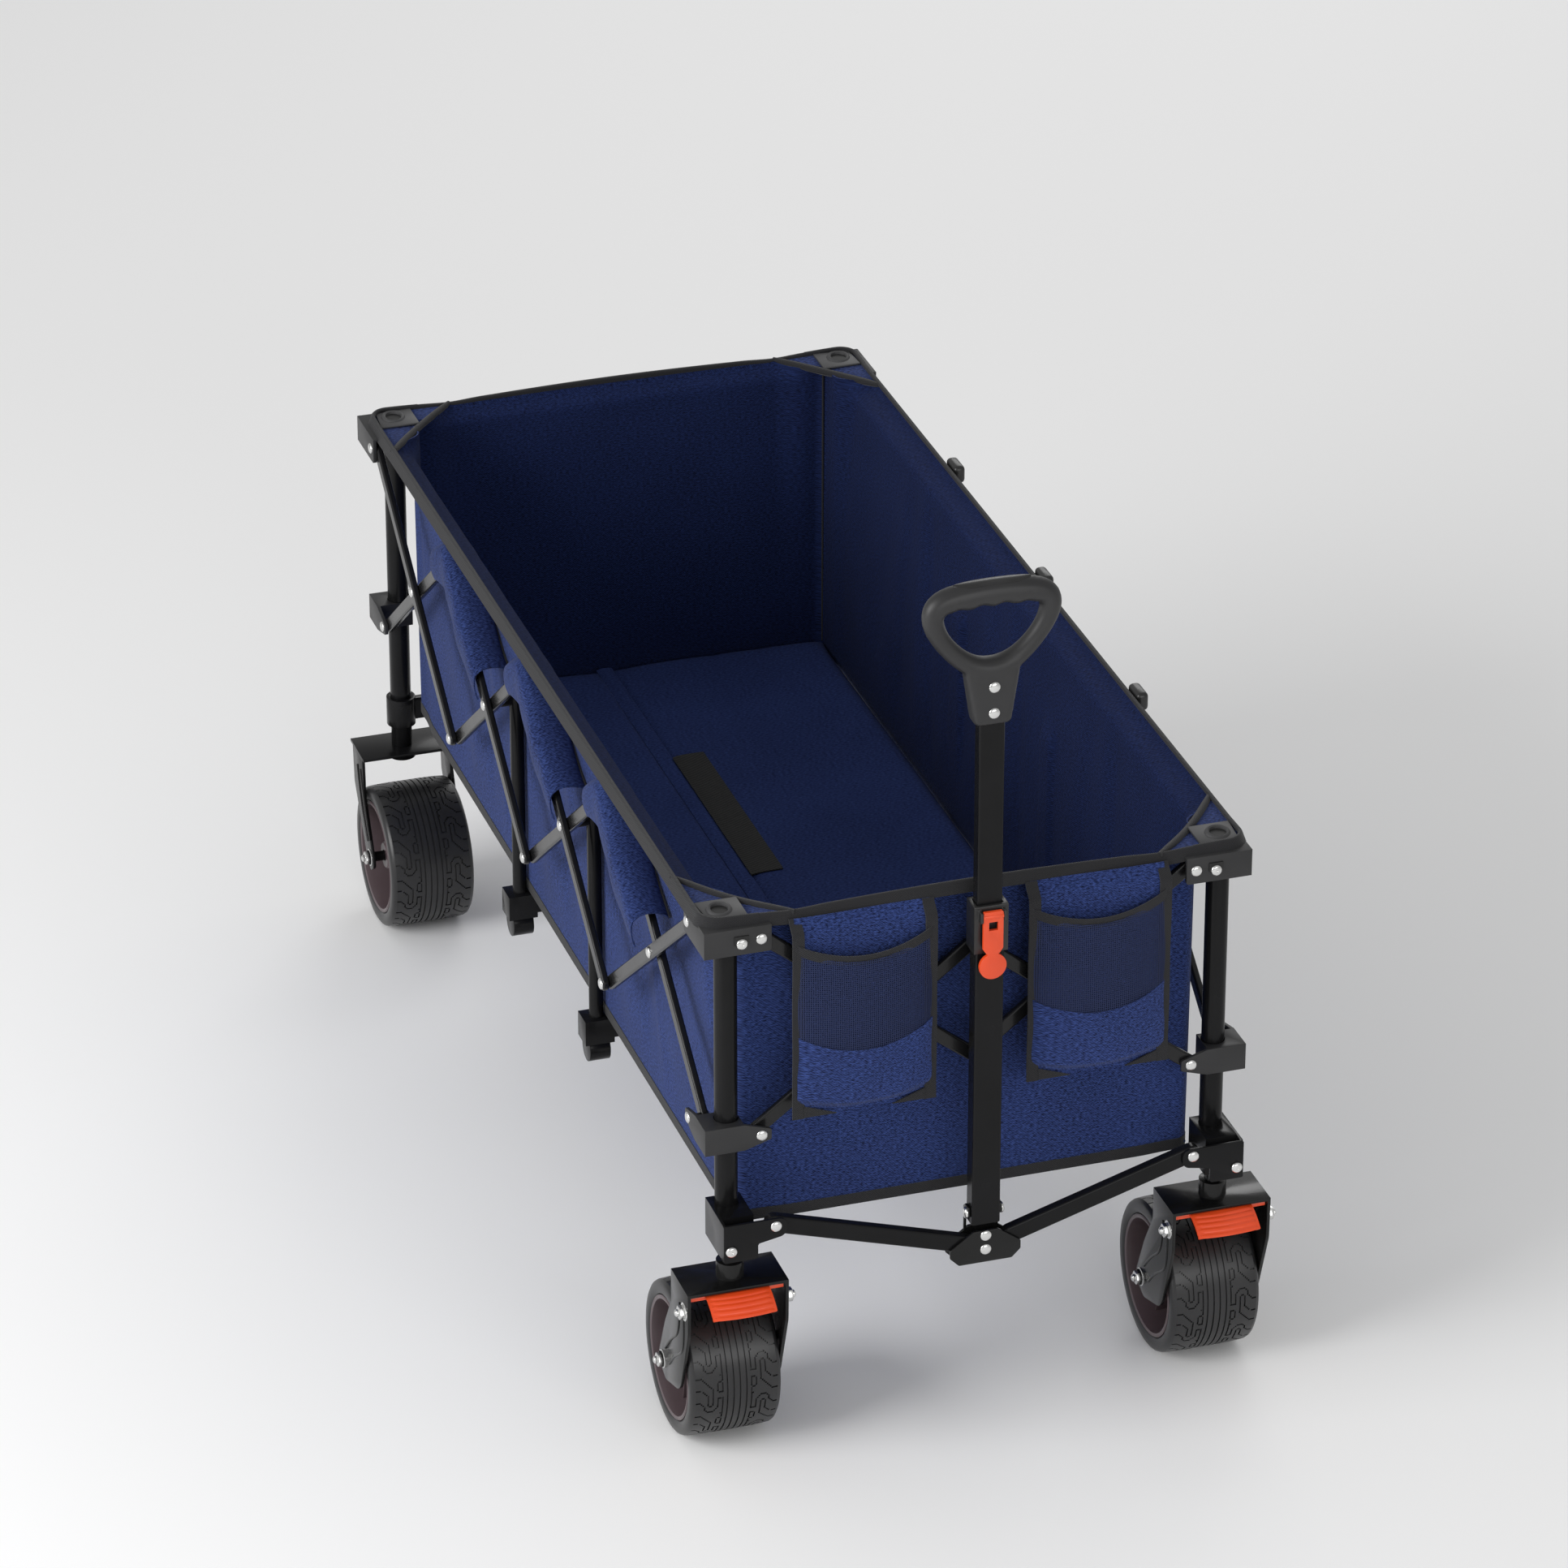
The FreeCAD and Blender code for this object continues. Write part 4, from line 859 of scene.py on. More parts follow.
AXLE_Z = joint_place("front_left_wheel_spin").z
for end, sy in ENDS.items():
    for side, sx in SIDES.items():
        body = f"front_{side}_fork" if end == "front" else f"rear_{side}_frame"
        axle = joint_place(f"{end}_{side}_wheel_spin")
        bolts = []
        for outward in (-1, 1):
            face = axle.x + outward * (WHEEL_HALF + 5.5 * MM)
            bolts.append(hex_bolt((face, axle.y, axle.z), (outward, 0, 0)))
            if end == "front":
                bolts.append(hex_bolt((face, axle.y - 80 * MM, axle.z + 106 * MM), (outward, 0, 0)))
        finish_piece(join(bolts), f"{end}_{side}_bolts", ZINC, body, 30)
        ribs = []
        for outward in (-1, 1):
            face = axle.x + outward * (WHEEL_HALF + 5.6 * MM)
            if end == "front":
                line = [(-78, 96), (-79, 70), (-72, 50), (-52, 36), (-36, 22), (-24, 8)]
                second = [(-64, 108), (-62, 80), (-54, 62), (-36, 48), (-22, 34), (-10, 20)]
            else:
                line = [(48, 104), (38, 70), (20, 36), (8, 18)]
                second = [(34, 104), (24, 74), (8, 42), (-2, 24)]
            for run in (line, second):
                points = [(face, axle.y + y * MM, axle.z + z * MM) for y, z in run]
                ribs.append(swept(points, 1.5 * MM, order=3))
        finish_piece(join(ribs), f"{end}_{side}_fork_ribs", FORK_PAINT, body, 50)


def build_pedal(centre_x, low, high):
    """Curved foot plate with five raised ridges along it."""
    width = (high.x - low.x) * 0.335
    reach = low.y
    root = high.y - 8 * MM

    def place(u, v):
        side = (u - 0.5) * 2
        bow = 3.2 * MM * side * side
        y = root + (reach - 2 * MM - root) * v + bow
        z = high.z - 3.5 * MM - (high.z - low.z - 2 * MM) * (0.25 * v + 0.75 * v * v)
        ridge = 0.9 * MM * max(0.0, math.sin(v * math.tau * 5.5 - 0.6)) if abs(side) < 0.9 and v > 0.22 else 0
        return Vector((centre_x + side * width, y, z + ridge))

    piece = cloth_grid(24, 66, place)
    apply_modifier(piece, "SOLIDIFY", thickness=3.2 * MM, offset=-1)
    return clean(piece)


for side, sx in SIDES.items():
    low, high = box(f"{side}_brake_pedal")
    pedal = build_pedal((low.x + high.x) / 2, low, high)
    pin_ends = [(x, high.y - 4.5 * MM, high.z - 4 * MM) for x in (low.x + 1 * MM, high.x - 1 * MM)]
    pedal = join([pedal, swept(pin_ends, 3.4 * MM)])
    finish_piece(pedal, f"{side}_pedal_plate", SIGNAL, f"{side}_brake_pedal", 40)
    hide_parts(f"{side}_brake_pedal")


# ---- grip ------------------------------------------------------------------------------------

grip_low, grip_high = box("handle_grip")
GRIP_Y = (grip_low.y + grip_high.y) / 2
GRIP_HALF = (grip_high.x - grip_low.x) / 2
GRIP_TOP = grip_high.z


def build_grip():
    """D loop of changing thickness on a neck, with finger hollows under the top bar."""
    top = GRIP_TOP - 14 * MM
    loop = [
        (0, 1.5), (-28, 0.5), (-52, -3), (-64, -12), (-65, -28), (-56, -48), (-40, -68), (-20, -84), (0, -89),
        (20, -84), (40, -68), (56, -48), (65, -28), (64, -12), (52, -3), (28, 0.5),
    ]
    thick = [1.1, 1.1, 1.06, 1.0, 0.92, 0.82, 0.82, 0.95, 1.1, 0.95, 0.82, 0.82, 0.92, 1.0, 1.06, 1.1]
    points = [(x * MM, GRIP_Y, top + z * MM) for x, z in loop]
    ring = swept(points, 12.6 * MM, closed=True, radii=thick)
    for vertex in ring.data.vertices:
        below = vertex.co.z < top - 4 * MM and vertex.co.z > top - 22 * MM and abs(vertex.co.x) < 50 * MM
        if below:
            wave = 0.5 + 0.5 * math.cos(vertex.co.x / (25 * MM) * math.tau)
            vertex.co.z -= 3.2 * MM * wave * ease((50 * MM - abs(vertex.co.x)) / (12 * MM))
    neck = rounded_block(
        (-21 * MM, GRIP_Y - 13 * MM, grip_low.z), (21 * MM, GRIP_Y + 13 * MM, grip_low.z + 64 * MM), 6 * MM, 4,
    )
    for vertex in neck.data.vertices:
        flare = ease((vertex.co.z - grip_low.z - 34 * MM) / (30 * MM))
        vertex.co.x *= 1 + 0.45 * flare
        vertex.co.y = GRIP_Y + (vertex.co.y - GRIP_Y) * (1 - 0.1 * flare)
    whole = join([ring, neck])
    apply_modifier(whole, "REMESH", mode="VOXEL", voxel_size=2.2 * MM)
    apply_modifier(whole, "SMOOTH", factor=0.5, iterations=6)
    return whole


grip = build_grip()
finish_piece(grip, "grip_loop", GRIP, "handle_grip_tube", 60)
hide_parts("handle_grip")
inset = cloth_grid(40, 8, lambda u, v: Vector((
    (u - 0.5) * 84 * MM,
    GRIP_Y + (v - 0.5) * 17 * MM * math.sqrt(max(0.02, 1 - (2 * u - 1) ** 4)),
    GRIP_TOP + 0.6 * MM - 1.1 * MM * (2 * u - 1) ** 2 - 3.0 * MM * (2 * v - 1) ** 2,
)))
apply_modifier(inset, "SOLIDIFY", thickness=2.4 * MM, offset=-1)
finish_piece(clean(inset), "grip_inset", COLLAR, "handle_grip_tube", 40)
neck_rivets = [
    dome_rivet((0, GRIP_Y - 12.6 * MM, grip_low.z + lift * MM), (0, -1, 0)) for lift in (15, 45)
]
finish_piece(join(neck_rivets), "grip_rivets", ZINC, "handle_grip_tube", 60)


# ---- shape of the fabric body ----------------------------------------------------------------

CLOTH = 2 * MM
LEAN_X = RIM_X - 3 * MM
LEAN_Y = RIM_Y - 3 * MM
CORNER_R = 14 * MM
FLARE = 17 * MM
GUSSET_X, GUSSET_Y = 203 * MM, 553 * MM
BAR_FACE_X = min(abs(corner.x) for corner in box("right_fall_bar_2"))
MID_POST_FACE = POST_X - 13 * MM
TOP_NODES = [-PIN_Y + 2 * HALF_CELL * i for i in range(5)]


# folds of a long wall beside a bar top: place along the wall in metres, depth in mm, width in metres
WALL_FOLDS = ((-0.055, 4.5, 0.016), (-0.012, -3.5, 0.018), (0.04, 4.0, 0.02), (0.085, -2.5, 0.022))


def side_fold(y, z):
    """Soft upright folds of a long wall, deepest below the bar tops."""
    height = (z - FLOOR_Z) / (RIM_Z - FLOOR_Z)
    depth = 0.0
    for node in TOP_NODES[1:4]:
        for shift, size, wide in WALL_FOLDS:
            line = node + shift * (0.55 + 0.9 * (1 - height))
            depth += size * MM * math.exp(-(((y - line) / wide) ** 2))
    body = ease(height / 0.25) * ease((1.02 - height) / 0.25)
    slow = 1.6 * MM * math.sin(y * 23 + 3.1 * math.sin(z * 9)) + 0.7 * MM * math.sin(y * 61 + z * 17)
    return (depth * 0.6 + slow) * body * ease((PIN_Y - 0.02 - abs(y)) / 0.07)


def side_x(y, z):
    """How far out a long wall's outer face stands."""
    t = (z - FLOOR_Z) / (RIM_Z - FLOOR_Z)
    free = ease((PIN_Y - 14 * MM - abs(y)) / (45 * MM))
    base = WALL_X - 3 * MM + 3 * MM * t + (3 * MM + 14 * MM * t * t) * free
    start = RIM_Z - FLARE
    lean = ease((z - start) / FLARE)
    out = base + (LEAN_X - base) * lean * free + side_fold(y, z)
    if z < start:
        out = min(out, BAR_FACE_X - 3 * MM)
    # the short posts stand just outside the cloth
    post = ease((26 * MM - abs(abs(y) - HALF_CELL)) / (14 * MM)) * ease((TOP_PIN_Z - 75 * MM - z) / (30 * MM))
    return out + (min(out, MID_POST_FACE - 2 * MM) - out) * post


def end_y(x, z):
    """How far out an end wall's outer face stands."""
    t = (z - FLOOR_Z) / (RIM_Z - FLOOR_Z)
    free = ease((PIN_X - 6 * MM - abs(x)) / (40 * MM))
    base = WALL_Y - 1 * MM + (2 * MM + 10 * MM * t * t) * free
    lean = ease((z - RIM_Z + FLARE) / FLARE)
    ripple = 1.3 * MM * math.sin(x * 31 + 1.4 * math.sin(z * 13)) * free * ease(t / 0.2) * ease((1 - t) / 0.15)
    return base + (LEAN_Y - base) * lean * free + ripple


def corner_point(u, z):
    """Outer face around an upright corner, from the long wall to the end wall, for one quarter."""
    far_x, far_y = side_x(PIN_Y, z), end_y(PIN_X, z)
    lengths = [far_y - CORNER_R - PIN_Y, CORNER_R * math.pi / 2, far_x - CORNER_R - PIN_X]
    run = u * sum(lengths)
    if run < lengths[0]:
        return far_x, PIN_Y + run
    run -= lengths[0]
    if run < lengths[1]:
        turn = run / CORNER_R
        return far_x - CORNER_R + CORNER_R * math.cos(turn), far_y - CORNER_R + CORNER_R * math.sin(turn)
    return far_x - CORNER_R - (run - lengths[1]), far_y


def rim_point(u):
    """The rim's line around a corner, for one quarter."""
    radius = 24 * MM
    lengths = [RIM_Y - radius - PIN_Y, radius * math.pi / 2, RIM_X - radius - PIN_X]
    run = u * sum(lengths)
    if run < lengths[0]:
        return (RIM_X, PIN_Y + run), (1, 0)
    run -= lengths[0]
    if run < lengths[1]:
        turn = run / radius
        out = (math.cos(turn), math.sin(turn))
        return (RIM_X - radius + radius * out[0], RIM_Y - radius + radius * out[1]), out
    return (RIM_X - radius - (run - lengths[1]), RIM_Y), (0, 1)


def rim_sag(x):
    """An end rim dips a little where a corner gusset joins it, and bows up in the middle."""
    dip = math.exp(-(((abs(x) - GUSSET_X) / (30 * MM)) ** 2))
    rise = math.cos(min(1.0, abs(x) / (150 * MM)) * math.pi / 2)
    return 2.5 * MM * (rise - dip)


def hem_point(v):
    """Section of a folded binding: out and up from the cloth's edge."""
    if v < 0.55:
        return 2.6 * MM, -9.5 * MM + 12.5 * MM * v / 0.55
    turn = (v - 0.55) / 0.3 * math.pi
    if v < 0.85:
        return 2.6 * MM * math.cos(turn), 3 * MM + 2.6 * MM * math.sin(turn)
    return -2.6 * MM, 3 * MM - 6 * MM * (v - 0.85) / 0.15


def tilt_hem(out, up):
    """The binding's section leant outwards with the rim: reach beyond the rim's line, and height."""
    return out * 0.9 - up * 0.35 - 2.5 * MM, up * 0.94 + out * 0.35 + 1 * MM


def two_faced(piece, outer, inner, inward, thickness=CLOTH):
    """Gives a cloth grid its thickness: the outer face stays, the inner face with the second finish lies on the
    other side.
    """
    pick(piece)
    middle = piece.data.polygons[len(piece.data.polygons) // 2]
    if middle.normal.dot(Vector(inward)) > 0:
        bpy.ops.object.mode_set(mode="EDIT")
        bpy.ops.mesh.select_all(action="SELECT")
        bpy.ops.mesh.flip_normals()
        leave_edit()
    piece.data.materials.clear()
    piece.data.materials.append(outer)
    piece.data.materials.append(inner)
    apply_modifier(piece, "SOLIDIFY", thickness=thickness, offset=-1, material_offset=1)
    return piece


def let_ride(piece, name, body, fold_axis=None, anchor=None, angle=60):
    """Like finish_piece for pieces that already have their finishes; with a fold axis the piece only gets its
    own copy of its mesh.
    """
    piece.name = name
    piece.data.name = name
    smooth(piece, angle)
    piece.data.transform(Matrix.Translation(SHIFT))
    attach(piece, body)
    if fold_axis:
        Vector(anchor) + SHIFT
        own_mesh(piece)
        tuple(fold_axis)
    return piece


def dress(piece, finish):
    piece.data.materials.clear()
    piece.data.materials.append(finish)
    return piece


def fold_of(way):
    """Body, axis and anchor for the cloth of one wall or end."""
    if way in SIDES:
        return f"front_{way}_frame", (0, 1, 0), (SIDES[way] * RIM_X, -PIN_Y, RIM_Z)
    return f"{way}_left_frame", (1, 0, 0), (-PIN_X, ENDS[way] * RIM_Y, RIM_Z)


def area_of(piece):
    """Area of one face of a thin closed cloth."""
    return sum(face.area for face in piece.data.polygons) / 2


# ---- walls, bottom and bindings --------------------------------------------------------------

WALL_HIGH = RIM_Z - FLOOR_Z
cloth_pieces = []
for side, sx in SIDES.items():
    body, axis, anchor = fold_of(side)

    def side_place(u, v, sx=sx):
        y, z = PIN_Y * (2 * u - 1), FLOOR_Z + WALL_HIGH * v
        return Vector((sx * side_x(y, z), y, z))

    wall = two_faced(cloth_grid(250, 76, side_place), NAVY, NAVY_SHADED_INSIDE, (-sx, 0, 0))
    let_ride(wall, f"{side}_wall", body, axis, anchor)
    cloth_pieces.append((wall, (WALL_HIGH * 1.05, 2 * PIN_Y)))
    if side == "left":
        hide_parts("basket")

    def side_rim(u, v, sx=sx):
        y = PIN_Y * (2 * u - 1)
        out, up = hem_point(v)
        reach, rise = tilt_hem(out, up)
        return Vector((sx * (RIM_X + reach), y, RIM_Z + rise))

    tape = two_faced(cloth_grid(160, 16, side_rim), TAPE, TAPE, (-sx, 0, 0), 1.1 * MM)
    let_ride(tape, f"{side}_rim_tape", body, axis, anchor)

    def side_foot(u, v, sx=sx):
        y = PIN_Y * (2 * u - 1)
        return Vector((sx * (side_x(y, FLOOR_Z) + 1.0 * MM), y, FLOOR_Z - 4 * MM + 13 * MM * v))

    foot = cloth_grid(160, 4, side_foot)
    two_faced(foot, TAPE, TAPE, (-sx, 0, 0), 2.6 * MM)
    let_ride(foot, f"{side}_bottom_tape", body, axis, anchor)

for end, sy in ENDS.items():
    body, axis, anchor = fold_of(end)

    def end_place(u, v, sy=sy):
        x, z = PIN_X * (2 * u - 1), FLOOR_Z + WALL_HIGH * v
        return Vector((x, sy * end_y(x, z), z))

    wall = two_faced(cloth_grid(110, 76, end_place), NAVY, NAVY_SHADED_INSIDE, (0, -sy, 0))
    let_ride(wall, f"{end}_wall", body, axis, anchor)
    cloth_pieces.append((wall, (WALL_HIGH * 1.05, 2 * PIN_X)))

    def end_rim(u, v, sy=sy):
        x = PIN_X * (2 * u - 1)
        out, up = hem_point(v)
        reach, rise = tilt_hem(out, up)
        return Vector((x, sy * (RIM_Y + reach), RIM_Z + rise + rim_sag(x)))

    tape = two_faced(cloth_grid(90, 16, end_rim), TAPE, TAPE, (0, -sy, 0), 1.1 * MM)
    let_ride(tape, f"{end}_rim_tape", body, axis, anchor)

    def end_foot(u, v, sy=sy):
        x = PIN_X * (2 * u - 1)
        return Vector((x, sy * (end_y(x, FLOOR_Z) + 1.0 * MM), FLOOR_Z - 4 * MM + 13 * MM * v))

    foot = cloth_grid(70, 4, end_foot)
    two_faced(foot, TAPE, TAPE, (0, -sy, 0), 2.6 * MM)
    let_ride(foot, f"{end}_bottom_tape", body, axis, anchor)

for end, sy in ENDS.items():
    for side, sx in SIDES.items():
        body = f"{end}_{side}_frame"
        inward = (-sx, -sy, 0)

        def corner_place(u, v, sx=sx, sy=sy):
            z = FLOOR_Z + WALL_HIGH * v
            x, y = corner_point(u, z)
            return Vector((sx * x, sy * y, z))

        wall = two_faced(cloth_grid(20, 38, corner_place), NAVY, NAVY_SHADED_INSIDE, inward)
        let_ride(wall, f"{end}_{side}_corner_cloth", body)
        cloth_pieces.append((wall, (WALL_HIGH, 50 * MM)))
        seam_x, seam_y = corner_point(0.5, RIM_Z - 40 * MM)
        seam_heights = (mat_high.z - 4 * MM, 400 * MM, 500 * MM, RIM_Z - 6 * MM)
        seam = swept(
            [(sx * (seam_x - 2.6 * MM), sy * (seam_y - 2.6 * MM), z) for z in seam_heights], 1.3 * MM,
        )
        finish_piece(seam, f"{end}_{side}_inner_seam", SEAM, body, 60)

        def corner_rim(u, v, sx=sx, sy=sy):
            (x, y), (out_x, out_y) = rim_point(u)
            out, up = hem_point(v)
            reach, rise = tilt_hem(out, up)
            bow = 1.5 * MM * math.sin(u * math.pi)
            return Vector((sx * (x + out_x * reach), sy * (y + out_y * reach), RIM_Z + rise + bow))

        tape = two_faced(cloth_grid(36, 16, corner_rim), TAPE, TAPE, inward, 1.1 * MM)
        let_ride(tape, f"{end}_{side}_corner_tape", body)

        def corner_foot(u, v, sx=sx, sy=sy):
            x, y = corner_point(u, FLOOR_Z)
            return Vector((
                sx * (x + 1 * MM * (1 - u)), sy * (y + 1 * MM * u), FLOOR_Z - 4 * MM + 13 * MM * v,
            ))

        foot = two_faced(cloth_grid(20, 4, corner_foot), TAPE, TAPE, inward, 2.6 * MM)
        let_ride(foot, f"{end}_{side}_corner_foot_tape", body)

        # gusset: a triangle of cloth over the corner with a round binding on its long edge
        high = RIM_Z + 1.2 * MM
        start = Vector((RIM_X - 2 * MM, GUSSET_Y, high))
        stop = Vector((GUSSET_X, RIM_Y - 2 * MM, high))
        tip = Vector((RIM_X - 2 * MM, RIM_Y - 2 * MM, high))
        radius = 22 * MM
        middle = Vector((RIM_X - 2 * MM - radius, RIM_Y - 2 * MM - radius, high))

        def gusset_place(u, v, sx=sx, sy=sy):
            edge = start.lerp(stop, v)
            back = tip.lerp(stop, v)
            point = back.lerp(edge, u)
            across = point - middle
            if across.x > 0 and across.y > 0 and across.length > radius:
                point = middle + across.normalized() * radius
            sag = 5 * MM * math.sin(v * math.pi) * u * u
            lean = Vector((1, 1, 0)).normalized() * sag
            point = point + lean - Vector((0, 0, 2.5 * MM * math.sin(v * math.pi) * u))
            return Vector((sx * point.x, sy * point.y, point.z))

        gusset = clean(cloth_grid(24, 30, gusset_place))
        gusset = clean(two_faced(gusset, NAVY, NAVY_SHADED_INSIDE, (0, 0, -1), 1.6 * MM))
        let_ride(gusset, f"{end}_{side}_gusset", body)
        cloth_pieces.append((gusset, None))
        edge = [gusset_place(1, v / 10) + Vector((0, 0, 0.5 * MM)) for v in range(11)]
        cord_radii = [0.7, 0.9] + [1.0] * 7 + [0.9, 0.7]
        binding = swept(edge, 4.3 * MM, radii=cord_radii)
        finish_piece(binding, f"{end}_{side}_gusset_binding", TAPE, body, 60)

        # plate with a hooded socket
        plate_x = sorted((sx * 252 * MM, sx * 299 * MM))
        plate_y = sorted((sy * 618 * MM, sy * 661 * MM))
        plate = rounded_block(
            (plate_x[0], plate_y[0], RIM_Z + 1.4 * MM), (plate_x[1], plate_y[1], RIM_Z + 4.2 * MM), 1.1 * MM, 2,
        )
        for vertex in plate.data.vertices:
            across = Vector((abs(vertex.co.x), abs(vertex.co.y), high)) - middle
            if across.x > 0 and across.y > 0 and across.length > radius - 2 * MM:
                kept = middle + across.normalized() * (radius - 2 * MM)
                vertex.co.x, vertex.co.y = sx * kept.x, sy * kept.y
        ring_at = (sx * 278 * MM, sy * 641 * MM, RIM_Z + 4.0 * MM)
        ring = turned(
            [(14.5 * MM, -1 * MM), (14.5 * MM, 0.8 * MM), (13 * MM, 3.4 * MM), (11 * MM, 4.2 * MM),
             (9.4 * MM, 3.2 * MM), (9.0 * MM, 0.4 * MM), (9.0 * MM, -1 * MM)],
            ring_at, (0, 0, 1), 32,
        )
        for vertex in ring.data.vertices:
            if vertex.co.z > ring_at[2] + 0.5 * MM:
                vertex.co.z -= 2.16 * MM * ease(0.5 - (vertex.co.y - ring_at[1]) / (20 * MM))
        finish_piece(join([plate, ring]), f"{end}_{side}_corner_plate", PLATE, body, 40)
        # a dark disc at the socket's foot: painted shade of the hole
        socket = turned(
            [(0.0001, 0.5 * MM), (9.2 * MM, 0.5 * MM), (9.2 * MM, -0.6 * MM), (0.0001, -0.6 * MM)],
            ring_at, (0, 0, 1), 32,
        )
        finish_piece(socket, f"{end}_{side}_corner_socket", HOLE_SHADE, body, 40)

for side, sx in SIDES.items():
    body, axis, anchor = fold_of(side)

    def bottom_place(u, v, sx=sx):
        x = sx * (WALL_X - 5 * MM) * u
        y = (WALL_Y - 4 * MM) * (2 * v - 1)
        return Vector((x, y, FLOOR_Z + 1 * MM - 1.5 * MM * math.sin(u * 9) * math.sin(v * 25) * 0.4))

    bottom = two_faced(cloth_grid(30, 90, bottom_place), NAVY, NAVY_SHADED_INSIDE, (0, 0, 1), 1.4 * MM)
    let_ride(bottom, f"{side}_bottom", body, axis, anchor)
    cloth_pieces.append((bottom, (WALL_X, 2 * WALL_Y)))


# ---- flaps over the bar tops -----------------------------------------------------------------

for side, sx in SIDES.items():
    for number, node in enumerate(TOP_NODES[1:4], start=1):
        body = f"{side}_rise_bar_{number}"
        outer = abs(box(f"{side}_rise_bar_2")[0 if sx < 0 else 1].x)

        def flap_line(u):
            """Station along the bar: y and the height of the sleeve's ridge."""
            y = node + 34 * MM - 172 * MM * u
            drop = BAR_SLOPE * math.sqrt((y - node) ** 2 + (14 * MM) ** 2)
            return y, TOP_PIN_Z + 20 * MM - drop

        section = [
            (-20, -6), (-14, 1), (-4, 5), (8, 6), (18, 4), (25, -2), (27, -12), (27, -26), (25, -40), (22, -52),
        ]

        def flap_place(u, v, sx=sx):
            y, ridge = flap_line(u)
            run = v * (len(section) - 1)
            i = min(len(section) - 2, int(run))
            part = run - i
            out = section[i][0] + (section[i + 1][0] - section[i][0]) * part
            up = section[i][1] + (section[i + 1][1] - section[i][1]) * part
            if up < -2:
                up *= 1.0 - 0.35 * ease((u - 0.75) / 0.25) - 0.25 * ease((0.2 - u) / 0.2)
            wave = 1.2 * MM * math.sin(u * 9 + v * 3) + 0.8 * MM * math.sin(u * 23) * v
            z = ridge + up * MM
            x = max(outer - 20 * MM + out * MM + wave, side_x(y, z) + 2.5 * MM)
            return Vector((sx * x, y, z))

        flap = cloth_grid(60, 34, flap_place)
        apply_modifier(flap, "SMOOTH", factor=0.5, iterations=4)
        # the flap's outer face takes the darker navy, painted shade
        two_faced(flap, NAVY_SHADED_FLAP, NAVY, (-sx * 0.4, 0, -1), 1.6 * MM)
        let_ride(flap, f"{side}_flap_{number}", body)
        cloth_pieces.append((flap, None))
        line = [flap_place(u / 6, 0.02) + Vector((0, 0, 1.2 * MM)) for u in range(7)]
        finish_piece(swept(line, 1.3 * MM), f"{side}_flap_seam_{number}", SEAM, body, 60)

for number, node in enumerate(TOP_NODES[1:4], start=1):
    x = RIM_X + 5 * MM
    lug = rounded_block(
        (x - 5 * MM, node - 16 * MM, RIM_Z - 12 * MM), (x + 9 * MM, node + 16 * MM, RIM_Z + 10 * MM), 5 * MM, 4,
    )
    finish_piece(lug, f"right_lug_{number}", COLLAR, f"right_rise_bar_{number}", 60)


# ---- floor mat -------------------------------------------------------------------------------

MAT_SPLIT = -26 * MM


def pad(low, high, seed):
    """A quilted board: a rounded slab that is blown up a little as cloth."""
    low, high = Vector(low), Vector(high)
    middle, spread = (low + high) / 2, (high - low) / 2
    shrink = Vector((0.2, 1.5, 1.5)) * MM
    piece = rounded_block(low + shrink, high - shrink, 3 * MM, 3)
    apply_modifier(piece, "REMESH", mode="VOXEL", voxel_size=6.5 * MM)
    pick(piece)
    modifier = piece.modifiers.new("Cloth", "CLOTH")
    modifier.settings.quality = 5
    modifier.settings.mass = 0.3
    modifier.settings.use_pressure = True
    modifier.settings.uniform_pressure_force = 3
    modifier.settings.tension_stiffness = 25
    modifier.settings.compression_stiffness = 25
    modifier.settings.shear_stiffness = 12
    modifier.settings.effector_weights.gravity = 0
    modifier.point_cache.frame_start = 1
    modifier.point_cache.frame_end = 14
    before = [vertex.co.copy() for vertex in piece.data.vertices]
    for step in range(1, 15):
        bpy.context.scene.frame_set(step)
    bpy.ops.object.modifier_apply(modifier=modifier.name)
    bpy.context.scene.frame_set(1)
    for vertex, was in zip(piece.data.vertices, before):
        moved = vertex.co - was
        if moved.length > 3.5 * MM:
            vertex.co = was + moved.normalized() * 3.5 * MM
    for vertex in piece.data.vertices:
        x, y, z = vertex.co - middle
        if z > 0:
            vertex.co.z += 0.9 * MM * math.sin(x * 19 + seed) * math.sin(y * 8.5 + seed)
        vertex.co.x = min(max(vertex.co.x, low.x), high.x)
        vertex.co.y = min(max(vertex.co.y, low.y), high.y)
        vertex.co.z = max(vertex.co.z, low.z)
    apply_modifier(piece, "SMOOTH", factor=0.5, iterations=3)
    return piece


mat_sides = {"left": (mat_low.x + 2 * MM, MAT_SPLIT), "right": (MAT_SPLIT, mat_high.x - 2 * MM)}
for seed, (side, (x0, x1)) in enumerate(mat_sides.items()):
    body, axis, anchor = fold_of(side)
    low_corner = (x0, mat_low.y + 3 * MM, mat_low.z + 1 * MM)
    half = pad(low_corner, (x1, mat_high.y - 3 * MM, mat_high.z + 2 * MM), seed + 1.3)
    dress(half, NAVY_MAT)
    let_ride(half, f"{side}_mat", body, axis, anchor)
    if side == "left":
        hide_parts("floor_mat")
def hinge_place(u, v):
    """Strip of mat cloth over the fold line between the two halves, tucked down at its edges."""
    y = mat_low.y + 8 * MM + (mat_high.y - mat_low.y - 16 * MM) * v
    lift = 0.4 * MM + 2.0 * MM * math.sin(math.pi * u) ** 0.6
    return Vector((MAT_SPLIT + (-10 + 20 * u) * MM, y, mat_high.z + lift))


